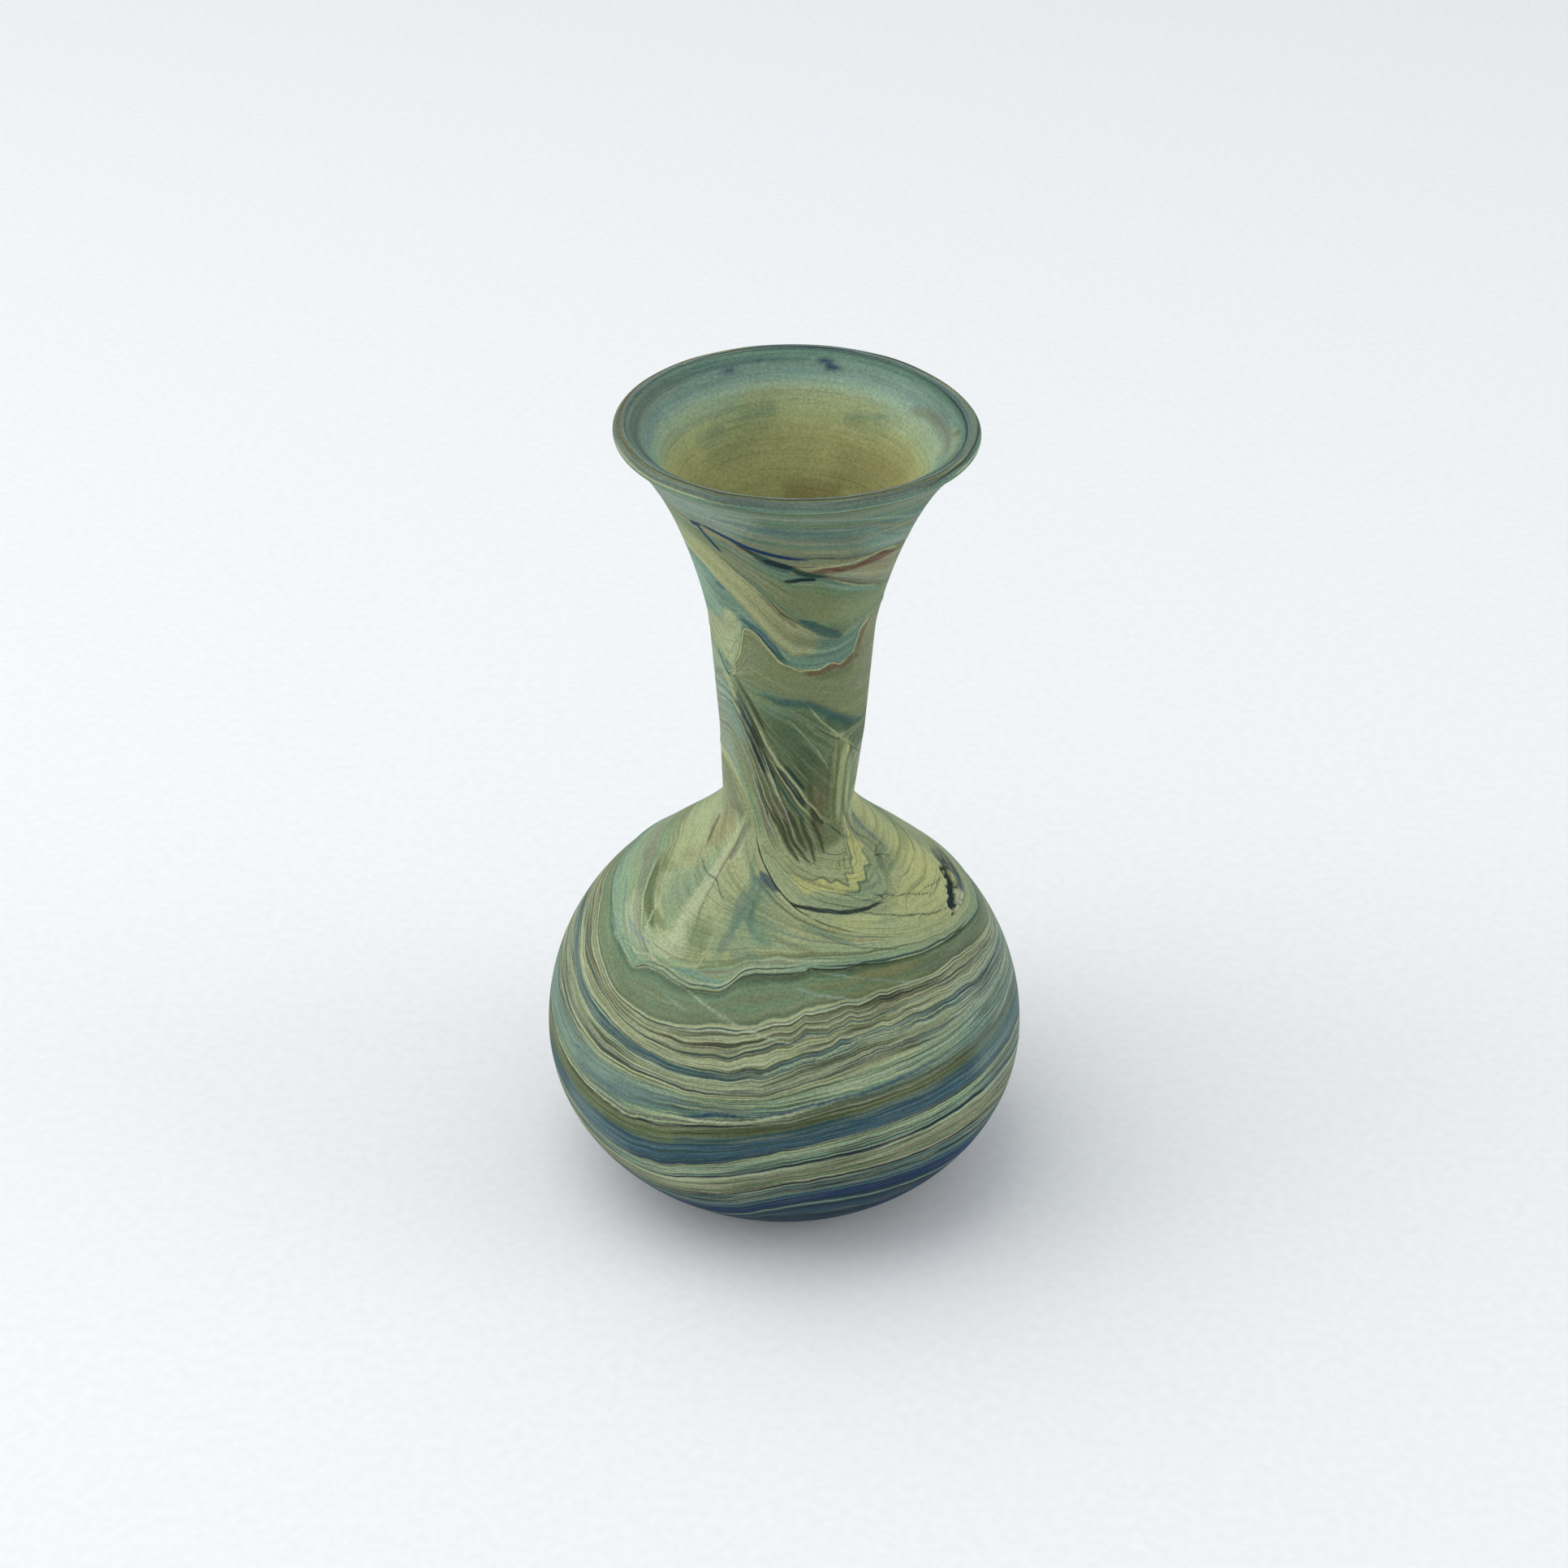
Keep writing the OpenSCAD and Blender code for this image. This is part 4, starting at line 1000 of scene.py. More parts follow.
def paint_upper_neck(c):
    c.patch("olive", 4, 0.9, [(-33, 119), (-20, 117), (0, 113), (30, 113), (60, 119), (100, 119), (100, 97),
        (60, 98), (40, 101), (20, 104), (0, 106), (-20, 107), (-42, 107.4)])
    c.patch("tan", 5, 0.4, [(-30, 117), (-22, 115), (-26, 110), (-36, 109)])
    c.patch("tan", 5, 0.45, [(56, 116), (80, 116), (84, 100), (60, 102), (50, 106)])
    c.thread("deep_teal", 1.6, 1.6, 0.75, [(-26, 105.4), (-18, 105.2), (-10, 104.4), (0, 104.2), (10, 104),
        (18, 102.8), (26, 101.4), (34, 100), (42, 98.7), (50, 97.5), (60, 96.6), (72, 95.8)])
    c.thread("pine", 2.2, 2, 0.45, [(24, 100.6), (34, 99), (44, 97.6), (54, 96.2)])
    c.thread("teal", 2, 2, 0.3, [(-18, 102.6), (-8, 102.4), (2, 102.6)])
    c.thread("brown", 1.6, 1.0, 0.9, [(6, 110.4), (14, 110.1), (22, 110.4), (30, 110.9), (38, 110.4),
        (46, 111.2), (53, 110.4)])
    c.thread("moss", 1.4, 1.2, 0.7, [(14, 109), (26, 109.2), (38, 108.9), (48, 109.4)])
    c.patch("rust", 1.0, 0.55, [(48.6, 116.6), (54, 117.4), (60, 117.8), (56, 114.6), (52.6, 112.2),
        (47.8, 112.4)])
    c.thread("ochre", 1.2, 1.2, 0.6, [(60, 117.4), (57, 114.6), (55, 112.4)])
    c.thread("cream", 0.5, 0.2, 0.95, [(-51, 106.9), (-46, 107.6), (-44.8, 109), (-44.3, 110), (-41, 111.2),
        (-39, 112.2), (-37, 114.2), (-34, 117.2), (-32.4, 118.1), (-29, 118.3)],
             raised=0.05)
    c.thread("cream", 0.35, 0.18, 0.95, beside(THROAT_SEAM, -30, 46, 3, -0.2), raised=0.05)
    c.thread("pale", 0.6, 0.3, 0.85, [(43, 111.8), (45, 112.6), (46.3, 114), (47.3, 116), (48.8, 116.8),
        (53, 117.5), (58, 118)], raised=0.05)
    # left of the knot
    c.patch("mist", 6, 0.7, [(-110, 118), (-66, 114), (-54, 108), (-52, 96), (-48, 88), (-60, 80),
        (-110, 78)])
    c.patch("tan", 5, 0.4, [(-100, 100), (-70, 100), (-58, 98), (-44, 92), (-34, 86), (-46, 86.6),
        (-60, 90), (-100, 90)])
    c.patch("sea", 3, 0.75, [(-66, 105), (-52, 102.6), (-42, 98.6), (-36, 94.4), (-44, 94.6), (-56, 97.6)])
    c.thread("clay", 0.9, 0.8, 0.7, [(-76, 103.6), (-68, 105.6), (-60, 105.9), (-53, 104.6)])
    c.patch("leaf", 4, 0.7, [(-100, 110), (-70, 109.8), (-58, 107.4), (-56, 105.8), (-70, 106.4),
        (-100, 104)])
    c.thread("cream", 1.4, 1, 0.7, [(-60, 106.6), (-53, 105.4), (-49, 104), (-45, 102)])
    c.thread("olive", 2.4, 2, 0.5, [(-54, 94.6), (-46, 91), (-38, 87.6), (-30, 83)])
    c.patch("mist", 4, 0.35, [(-100, 88), (-54, 88), (-50, 82), (-100, 82)])
    c.thread("ink", 0.7, 0.4, 0.9, [(-68, 111.2), (-63, 110), (-58, 108.6), (-53, 107), (-50, 106.6)])


def paint_crease(c):
    """The rough open fold at the far right, with blue glass behind it."""
    c.patch("blue", 1.6, 0.9, [(86, 56.2), (90, 57), (98, 57), (104, 55), (98, 53), (90, 53.6)])
    c.patch("navy", 1.4, 0.7, [(90, 55.6), (98, 56), (102, 54.4), (92, 53.8)])
    c.patch("slate", 2.4, 0.6, [(100, 57), (102, 61), (105, 65), (109, 67.4), (113, 64), (120, 59),
        (124, 56), (108, 54)])
    c.patch("dusk_blue", 1.6, 0.9, [(97, 56), (99, 59.6), (104, 60.6), (110, 59), (118, 56.4), (106, 54)])
    c.patch("pale", 0.9, 0.9, [(76.6, 56.6), (80, 57.2), (87, 57.4), (91, 57), (88, 55), (82, 54.8),
        (78.4, 55.6)])
    # the ink threads along the open fold are painted shade in the crack, over dents of 0.45 and 0.15 mm
    c.thread("ink", 2.1, 0.3, 1.0, [(73.6, 56.9), (76, 57.2), (79, 57.7), (83, 57.9), (88, 58.3),
        (93, 58.8), (98, 59), (104, 58.6)], raised=-0.45, ragged=2.4)
    c.thread("ink", 0.45, 0.2, 0.95, [(74.4, 57.2), (75.2, 56.2), (77, 55.4), (80, 54.8), (84, 54.5)],
             raised=-0.15)
    c.thread("ink", 0.4, 0.3, 0.8, [(80, 57.2), (82, 56.2), (81, 55.6)], ragged=1.2)
    c.thread("slate", 0.6, 0.4, 0.8, [(84, 57), (86, 55.8), (90, 55.6)], ragged=1.2)


# ---------------------------------------------------------------- throat and collar

def paint_throat(c):
    c.patch("sea", 5, 0.8, [(-100, 128), (-66, 128.6), (-50, 127), (-40, 124.8), (-30, 121), (-36, 120.6),
        (-50, 119.2), (-66, 117.8), (-100, 119)])
    c.patch("teal", 4, 0.75, [(-56, 125.4), (-46, 126), (-36, 123.6), (-26, 120.4), (-14, 117), (-4, 114.4),
        (10, 114), (30, 115), (44, 116), (47, 113), (30, 111), (0, 111), (-14, 113), (-24, 117),
        (-34, 119.6), (-48, 120.4)])
    c.patch("leaf", 5, 0.45, [(-100, 142), (-62, 139), (-50, 134), (-48, 130), (-62, 131), (-100, 132)])
    c.patch("butter", 2.4, 0.9, [(-62, 130.6), (-50, 129.4), (-40, 126.6), (-30, 123.6), (-20, 120.4),
        (-10, 117), (2, 114.6), (14, 114.4), (22, 116), (14, 118), (6, 120.2), (-2, 122.4), (-12, 125.6),
        (-22, 128.8), (-32, 132), (-42, 134.6), (-52, 135.4), (-62, 133.6)])
    c.patch("ochre", 3, 0.5, [(-30, 128), (-20, 126.6), (-8, 123), (4, 119.4), (12, 117), (4, 116.4),
        (-10, 120), (-22, 124)])
    c.patch("olive", 4, 0.55, [(-12, 121.6), (-2, 119), (12, 115.4), (0, 116), (-10, 118.6)])
    c.thread("brown", 1.2, 1.0, 0.5, [(-20, 127.4), (-12, 125), (-4, 122.2), (4, 119.9)])
    c.thread("pine", 0.34, 0.2, 0.9, [(-40, 134.4), (-30, 131.5), (-20, 128.5), (-13, 126), (-5, 123),
        (1, 121.6), (8, 119.8)])
    c.thread("teal", 0.35, 0.3, 0.6, [(-34, 132.4), (-24, 129.6), (-14, 126.3), (-6, 123.6)])
    c.patch("tan", 4, 0.5, [(-34, 135), (-28, 136.6), (-20, 135), (-14, 131), (-20, 129.6), (-30, 132.6)])
    c.patch("forest", 3, 0.35, [(2, 119.6), (14, 118.4), (26, 117.4), (24, 115), (10, 115.2), (0, 117)])
    # the olive field at the right, and teal along the wavy seam
    c.patch("olive", 4, 0.6, [(6, 129), (22, 127), (40, 125), (70, 123), (95, 122), (95, 119.4), (60, 120),
        (40, 119.6), (24, 120.6), (10, 122.6), (-2, 125.4)])
    c.comb(0.12, 3, [(4, 129.6), (22, 127.6), (40, 125.6), (70, 124), (95, 123), (95, 118), (50, 118),
        (30, 117.6), (10, 120.6), (-6, 125)])
    c.patch("forest", 3, 0.6, [(16, 119.6), (30, 120.6), (60, 121), (95, 121), (95, 118.4), (62, 118.6),
        (50, 117.6), (46, 113.4), (30, 112.6), (18, 114.6)])
    c.patch("teal", 2.4, 0.85, [(18, 117.4), (30, 116.6), (42, 117.8), (50, 118.8), (47, 115), (44, 112.4),
        (30, 111.4), (0, 111.4), (-8, 113), (4, 113.6), (14, 114.4)])
    c.thread("deep_teal", 2.0, 1.2, 0.85, [(2, 121.8), (8, 121), (14, 119.7), (20, 118.4), (27, 117.4),
        (34, 116.4)])
    c.patch("leaf", 5, 0.35, [(26, 124), (50, 124), (70, 124), (90, 122), (80, 118.6), (50, 118.6),
        (36, 118)])
    # the cream corner above the knot
    c.patch("cream", 1.6, 0.85, [(-100, 117), (-62, 117.4), (-50, 118.4), (-45, 121.2), (-40, 121.2),
        (-36, 119.4), (-34.4, 118.2), (-37, 114), (-41, 111.2), (-45, 109), (-48, 107), (-60, 110.6),
        (-100, 113)])
    c.patch("leaf", 2.4, 0.6, [(-41, 118), (-37, 117.4), (-41, 112.6), (-44, 111.4)])
    c.patch("clay", 3, 0.35, [(-60, 116.6), (-48, 117), (-44, 118.6), (-56, 117.6)])
    c.patch("leaf", 3, 0.6, [(-66, 112), (-56, 110.6), (-50, 108), (-58, 108), (-70, 110)])
    c.thread("slate", 0.8, 0.6, 0.7, [(-56, 109.4), (-52, 109), (-48, 108.2)])
    c.thread("navy", 0.7, 0.6, 0.7, [(-48, 126.4), (-44, 126.1), (-40, 125.6)])
    # fine threads above the wavy seam at the left
    c.thread("teal", 0.3, 0.3, 0.8, [(-66, 130.8), (-58, 129.8), (-50, 128.4), (-45, 127), (-40, 125.8),
        (-34, 124)])
    c.thread("deep_teal", 1.1, 0.6, 0.85, [(-36, 120.6), (-31, 120), (-26, 119.4), (-21, 118.2),
        (-16, 116.6), (-12, 115.2), (-8, 113.8), (-3, 112.8)])
    c.thread("blue", 0.9, 0.7, 0.6, [(-34, 121.4), (-27, 120), (-21, 118.9), (-15, 117), (-9, 115)])
    c.thread("sky", 0.2, 0.2, 0.7, [(-26, 119.2), (-20, 117.8), (-15, 116.2), (-10, 114.4)])
    c.thread("ink", 0.3, 0.2, 0.7, [(-30, 119.2), (-25, 118.7), (-20, 117.5), (-15, 115.6), (-10, 113.7),
        (-5, 112.6), (4, 111.8)])
    # right: rust wedge between cream lines
    c.patch("tan", 1.6, 0.85, [(8, 132), (24, 132), (50, 131.6), (80, 129), (100, 128), (100, 123),
        (62, 125), (44, 126.8), (30, 129)])
    c.patch("ochre", 1.4, 0.6, [(28, 131.2), (48, 131.4), (60, 130), (50, 128.6), (36, 129.4)])
    c.patch("rust", 0.7, 0.95, [(6, 132.7), (14, 133.2), (28, 133), (38, 133.5), (45, 133.7), (52, 132.7),
        (58, 131.8), (46, 131.9), (34, 131.9), (20, 131.9), (12, 132.1)])
    c.thread("cream", 0.35, 0.25, 0.9, [(1, 133.5), (8, 133.5), (18, 133.4), (28, 133.6), (36, 134),
        (44, 134.1), (52, 133.4), (60, 132.4)])
    c.thread("olive", 0.6, 0.5, 0.6, [(-4, 135), (6, 134.7), (16, 134.4), (26, 134.2)])
    c.thread("brown", 0.42, 0.25, 0.95, [(8, 132.2), (12, 131.7), (16, 131.2), (20, 130.6), (25, 129.7),
        (30, 128.9), (35, 128.1), (40, 127.2), (45, 126.5), (50, 125.8), (56, 125.2), (62, 124.8)])
    c.thread("butter", 0.36, 0.2, 0.9, [(16, 130.9), (20, 130.2), (25, 129.2), (30, 128.3), (35, 127.5),
        (40, 126.8), (46, 126.1), (54, 125.4)])
    c.thread("sea", 1.2, 1.2, 0.6, [(14, 129.8), (24, 128.2), (35, 126.8), (45, 125.6), (56, 124.4)])
    # dark wedge and hook under the collar
    c.thread("pine", 1.3, 0.9, 0.95, [(-28, 138.2), (-22, 137.1), (-16, 135.7), (-11, 134.8), (-6, 134.1),
        (-1, 133.5), (4, 132.4), (10, 131.6), (18, 130.9)])
    c.thread("deep_teal", 2.2, 1.2, 0.8, [(-19, 135.8), (-10, 134.5), (-4, 133.6), (1, 133.2)])
    c.thread("ink", 1.3, 0.6, 0.95, [(-15, 135.2), (-10, 134.6), (-5, 134), (0, 133.6)])
    c.thread("ink", 0.25, 0.2, 0.7, [(-4, 134.2), (4, 133.9), (10, 133.8)])
    c.thread("ink", 0.9, 0.5, 1.0, [(-6, 130.8), (-1, 130.7), (3, 131), (7, 130.9), (11, 130.5)])
    c.thread("slate", 0.5, 0.5, 0.6, [(-12, 132.2), (-8, 131.2), (-4, 130.7)])
    c.thread("navy", 0.9, 0.5, 1.0, [(-46, 139.7), (-43, 139.3), (-41.6, 138.2), (-39.6, 137), (-37, 135.7),
        (-34, 134.4)])
    c.thread("navy", 1.4, 0.7, 1.0, [(-47.4, 139.5), (-44, 139.7), (-41, 139.7)])
    c.thread("navy", 0.8, 0.3, 1.0, [(-42, 139.9), (-38, 139.9), (-34, 139.6), (-30, 139), (-25, 138.2),
        (-20, 137.5), (-15, 136.9), (-8, 136.4), (0, 135.9), (8, 135.6)])


def paint_collar(c):
    c.patch("mist", 5, 0.75, [(-100, 148), (-60, 148), (-20, 147), (-14, 144), (-24, 140), (-48, 140.6),
        (-100, 141)])
    c.patch("olive", 3, 0.5, [(-22, 139.6), (-6, 139), (14, 138), (26, 137.2), (30, 135.4), (0, 136),
        (-22, 138)])
    c.patch("sea", 4, 0.65, [(30, 140.4), (50, 137.4), (80, 134), (90, 132), (50, 134.4), (34, 135.4)])
    streaks = [
        ("slate", 1.4, 0.5, [(-34, 143.2), (-20, 142.8), (-5, 142), (8, 141.2), (20, 139.9), (32, 138.4)]),
        ("slate", 0.8, 0.45, [(-10, 141), (6, 140.2), (18, 138.9), (30, 137.4)]),
        ("navy", 0.4, 0.35, [(34, 139.4), (44, 137.7), (54, 136), (62, 134.8)]),
        ("clay", 0.5, 0.55, [(-6, 144.4), (8, 144), (18, 143.3), (28, 142.3), (38, 141), (48, 139.4),
            (58, 137.8)]),
        ("ochre", 0.4, 0.6, [(24, 142.4), (34, 141.3), (44, 139.7), (54, 138.1)]),
        ("brown", 0.3, 0.5, [(-34, 145), (-20, 144.8), (-8, 144.2)]),
        ("mist", 0.8, 0.5, [(-20, 146), (0, 145.6), (20, 144.6), (40, 142.2), (60, 139)]),
        ("mist", 0.7, 0.6, [(38, 136.2), (50, 135), (64, 133.4), (80, 131.6)]),
        ("tan", 0.5, 0.5, [(-40, 142.2), (-26, 141.4), (-12, 140.4)]),
        ("slate", 0.3, 0.5, [(40, 134.9), (52, 134.2), (64, 132.9), (78, 131.4)]),
    ]
    for tint, width, strength, line in streaks:
        c.thread(tint, width, width * 0.9, strength, line)
    c.thread("navy", 0.5, 0.25, 0.9, beside(COLLAR_SEAM, -45, 32, 4, 0.12))
    # the lip was pinched at the right, and the glass folded under it
    c.patch("deep_teal", 0.8, 0.5, [(62, 146.6), (70, 147.2), (78, 147.6), (88, 147.6), (78, 146.4),
        (68, 146)])
    c.thread("pale", 0.5, 0.3, 0.8, [(50, 145.6), (60, 145), (72, 144.6), (86, 144.8)])
    c.thread("teal", 0.9, 0.5, 0.8, [(58, 145.8), (70, 145.4), (84, 145.6)])
    c.thread("ink", 0.3, 0.2, 0.8, [(46, 147.2), (54, 146.9), (62, 146.6), (70, 146.9)])
    c.thread("moss", 0.5, 0.5, 0.5, [(a, 147.2) for a in range(-180, 181, 20)])
    c.thread("slate", 1.2, 1.0, 0.6, [(54, 145.2), (62, 145.2), (70, 145.4), (80, 146)])


# ---------------------------------------------------------------- meshes

def columns(count):
    """Angles round the vase, closer together at the front than behind."""
    turn = np.arange(count) / count
    return np.degrees(2 * np.pi * turn - 0.3 * np.sin(2 * np.pi * turn))


def rows_between(low, high, count):
    """Runs from low to high for every column, with four close rows within 0.16 mm of each edge."""
    near = np.array([0, 0.03, 0.07, 0.13])
    t = np.linspace(0, 1, count - 2 * len(near) + 2)[1:-1]
    spans = []
    for start, end in zip(low, high):
        inner = start + 0.16 + (end - start - 0.32) * t
        spans.append(np.concatenate([start + near, inner, end - near[::-1]]))
    return np.array(spans).T


def edge_depth(run, low, high, radius):
    """How far a rounded edge falls away near the two ends of a wrap."""
    depth = np.zeros_like(run)
    for off in (run - low, high - run):
        t = np.clip(1 - off / radius, 0, 1)
        depth = depth + radius * (1 - np.sqrt(np.maximum(1 - t * t, 0)))
    return depth


def grid_faces(rows, cols, closed):
    """Four cornered faces round and up a grid of points, and from its last row to its first if closed."""
    last = rows if closed else rows - 1
    i = np.arange(last)[:, None]
    j = np.arange(cols)[None, :]
    a = i * cols + j
    b = i * cols + (j + 1) % cols
    d = (i + 1) % rows * cols + j
    c = (i + 1) % rows * cols + (j + 1) % cols
    return np.stack([a, b, c, d], -1).reshape(-1, 4)


def make_mesh(name, points, closed, fields):
    """A mesh from rows and columns of points in mm. fields are values for every point."""
    rows, cols = points.shape[:2]
    faces = grid_faces(rows, cols, closed)
    mesh = bpy.data.meshes.new(name)
    verts = points.reshape(-1, 3) * MM
    caps = [] if closed else [list(range(cols))[::-1], list(range((rows - 1) * cols, rows * cols))]
    mesh.from_pydata(verts.tolist(), [], faces.tolist() + caps)
    mesh.update()
    for field, values in fields.items():
        kind = {1: "FLOAT", 3: "FLOAT_VECTOR", 4: "FLOAT_COLOR"}[values.shape[-1]]
        attribute = mesh.attributes.new(field, kind, "POINT")
        slot = {"FLOAT": "value", "FLOAT_VECTOR": "vector", "FLOAT_COLOR": "color"}[kind]
        attribute.data.foreach_set(slot, values.astype(np.float32).ravel())
    unwrap(mesh, points, closed)
    mesh.polygons.foreach_set("use_smooth", np.ones(len(mesh.polygons), bool))
    piece = bpy.data.objects.new(name, mesh)
    bpy.context.scene.collection.objects.link(piece)
    return piece


def unwrap(mesh, points, closed):
    """Angle along, length of the section up, in one rectangle."""
    rows, cols = points.shape[:2]
    steps = np.linalg.norm(np.diff(points, axis=0), axis=2).mean(axis=1)
    closing = np.linalg.norm(points[0] - points[-1], axis=1).mean() if closed else 0
    up = np.concatenate([[0], np.cumsum(steps)])
    up = np.append(up, up[-1] + closing) / (up[-1] + closing)
    along = np.arange(cols + 1) / cols
    last = rows if closed else rows - 1
    i = np.repeat(np.arange(last), cols)
    j = np.tile(np.arange(cols), last)
    corner = np.stack([along[j], up[i], along[j + 1], up[i], along[j + 1], up[i + 1],
                       along[j], up[i + 1]], 1).reshape(-1, 2)
    corner = corner * 0.996 + 0.002
    extra = len(mesh.loops) - len(corner)
    corner = np.concatenate([corner, np.full((extra, 2), 0.001)])
    layer = mesh.uv_layers.new(name="OFBake")
    layer.data.foreach_set("uv", corner.astype(np.float32).ravel())


def plain_back(angle, low_run, high_run, count):
    """The side of a wrap that lies on the bubble."""
    runs = low_run + (high_run - low_run) * np.linspace(1, 0, count)[:, None]
    angles = np.repeat(angle[None, :], count, 0)
    return place(angles, runs, WRAP_T * thinning(runs))


def wrap_piece(name, low, high, rows, cols, painter, strata, raised_low):
    """One wrap of glass, whose low edge stands raised_low mm proud of the wrap under it."""
    angle = columns(cols)
    low_run, high_run = low(angle), high(angle)
    runs = rows_between(low_run, high_run, rows)
    angles = np.repeat(angle[None, :], rows, 0)
    canvas = Canvas(angles, runs)
    level, even = strata(canvas.angle, canvas.run)
    painter(canvas)
    depth = edge_depth(runs, low_run, high_run, radius=0.22)
    depth = depth - raised_low * hump(runs - low_run, 1.1)
    depth = depth - canvas.relief.reshape(runs.shape)
    outside = place(angles, runs, depth)
    back = plain_back(angle, low_run, high_run, 9)
    fields = with_hidden(canvas.fields(level, even), back.shape[0] * cols)
    return make_mesh(name, np.concatenate([outside, back]), True, fields)


def make_belly():
    """The belly wrap starts at the middle of the base, so it has a cap instead of a loop."""
    cols, rows = 420, 226
    low = 0.3
    angle = columns(cols)
    high = run_at(line_at(BELLY_SEAM, angle)) + 0.15
    # fewer rows under the base, where nobody looks closely
    t = np.concatenate([np.linspace(0, 0.25, 22)[:-1], np.linspace(0.25, 1, rows - 21)])
    runs = low + (high - low) * t[:, None]
    angles = np.repeat(angle[None, :], rows, 0)
    canvas = Canvas(angles, runs)
    level, even = belly_strata(canvas.angle, canvas.run)
    canvas.lines = np.interp(level, *np.array(BELLY_HAIRS).T)
    paint_belly(canvas)
    # only the top edge is rounded, so the low one is taken to be far off
    depth = edge_depth(runs, runs - 10, high, radius=0.15) - canvas.relief.reshape(runs.shape)
    outside = place(angles, runs, depth)
    back = plain_back(angle, low, high, 8)
    fields = with_hidden(canvas.fields(level, even), back.shape[0] * cols)
    return make_mesh("belly_glass", np.concatenate([outside, back]), False, fields)


# ---------------------------------------------------------------- flow of the other wraps

SHOULDER_LEVELS = [
    [(-90, 65.2), (-80, 63.6), (-68, 60.9), (-60, 59.4), (-50, 57.5), (-40, 57.3), (-29, 58.4), (-10, 61),
        (10, 61.3), (30, 60.2), (45, 59), (60, 57.4), (90, 54.2)],
    [(-90, 77), (-73, 75), (-60, 69.9), (-50, 68.6), (-38, 67.9), (-22, 66.5), (-10, 65.6), (0, 64.6),
        (15, 62.9), (30, 61.4), (45, 59.8), (60, 58.1), (90, 55)],
]
NECK_LEVELS = [
    [(-90, 95), (-60, 97.5), (-50, 97), (-45, 94.3), (-40, 91.8), (-32, 87.5), (-25, 83), (-20, 80),
        (-13, 77), (-8, 75.3), (5, 73), (20, 71.2), (35, 70), (48, 69.4), (55, 70.3), (57, 73), (59, 78),
        (62, 83), (68, 86), (90, 88)],
    [(-90, 101), (-60, 102.5), (-50, 102.3), (-42, 100.4), (-32, 96.4), (-25, 93.4), (-18, 89.6),
        (-10, 85.6), (-5, 82.7), (0, 79.6), (8, 76.4), (20, 73.6), (35, 72), (44, 71.8), (48, 74),
        (50.5, 80), (52, 86), (54, 90), (60, 92), (90, 92)],
    [(-90, 105), (-60, 105.6), (-47, 105), (-35, 102), (-27, 99), (-18, 94.5), (-10, 91.2), (0, 88),
        (10, 84.8), (20, 81.5), (30, 78.6), (38, 77), (43, 79), (45, 84), (47, 90), (50, 93), (60, 94),
        (90, 93.6)],
    [(-90, 107.5), (-52, 106.8), (-40, 105.9), (-27, 104.4), (0, 101.6), (10, 99.4), (25, 96), (35, 93.8),
        (42, 94), (50, 95), (60, 95.2), (90, 94.6)],
    [(-90, 109), (-52, 107), (-22, 106), (10, 104.4), (33, 100.8), (50, 97.6), (80, 95.8), (90, 95.6)],
]
THROAT_LEVELS = [
    [(-90, 131), (-60, 129.6), (-40, 125.6), (-30, 122.8), (-20, 119.4), (-10, 115.9), (0, 113.7),
        (20, 113), (43, 114), (48, 118), (70, 119.6), (90, 119)],
    [(-90, 138), (-60, 138), (-45, 135.6), (-35, 132.8), (-20, 128.7), (-10, 125.4), (0, 121.9),
        (10, 119.9), (30, 117.4), (50, 119.4), (90, 121)],
    [(-90, 140.5), (-60, 139.8), (-30, 137), (-15, 134), (0, 131.9), (12, 131.6), (25, 129.6), (40, 127.3),
        (60, 124.9), (90, 124.4)],
]

SHOULDER_BANDS = [
    (0, "leaf"), (0.2, "sea"), (0.45, "leaf"), (0.75, "tan"), (0.9, "leaf"), (1, "leaf"), (1.15, "olive"),
    (1.35, "pear"), (1.5, "leaf"), (1.62, "pear"), (1.8, "leaf"), (1.92, "tan"), (1.98, "pale"),
    (2.04, "leaf"), (2.12, "pear"), (2.3, "butter"), (2.42, "pear"), (2.5, "leaf"), (2.62, "tan"),
    (2.75, "olive"), (2.85, "pear"), (3, "pear"),
]
NECK_BANDS = [
    (0, "butter"), (0.15, "leaf"), (0.35, "green"), (0.5, "leaf"), (0.7, "butter"), (0.85, "tan"),
    (1, "olive"), (1.1, "tan"), (1.3, "olive"), (1.45, "brown"), (1.6, "tan"), (1.8, "brown"), (2, "olive"),
    (2.15, "umber"), (2.35, "brown"), (2.5, "olive"), (2.7, "umber"), (2.9, "moss"), (3, "cream"),
    (3.05, "green"), (3.5, "green"), (3.9, "green"), (4.2, "olive"), (4.6, "green"), (4.95, "teal"),
    (5.1, "olive"), (5.4, "tan"), (5.7, "olive"), (6, "ochre"),
]
THROAT_BANDS = [
    (0, "teal"), (0.3, "sea"), (0.6, "leaf"), (0.85, "sea"), (1, "teal"), (1.06, "butter"), (1.25, "cream"),
    (1.4, "tan"), (1.5, "butter"), (1.7, "tan"), (1.85, "ochre"), (1.95, "olive"), (2, "forest"),
    (2.04, "green"), (2.2, "olive"), (2.5, "olive"), (2.8, "green"), (3, "teal"), (3.1, "tan"),
    (3.4, "ochre"), (3.7, "tan"), (4, "olive"),
]
COLLAR_BANDS = [
    (0, "slate"), (0.08, "tan"), (0.18, "teal"), (0.3, "tan"), (0.4, "teal"), (0.5, "slate"),
    (0.6, "green"), (0.7, "teal"), (0.8, "tan"), (0.88, "teal"), (0.94, "olive"), (1, "moss"),
]
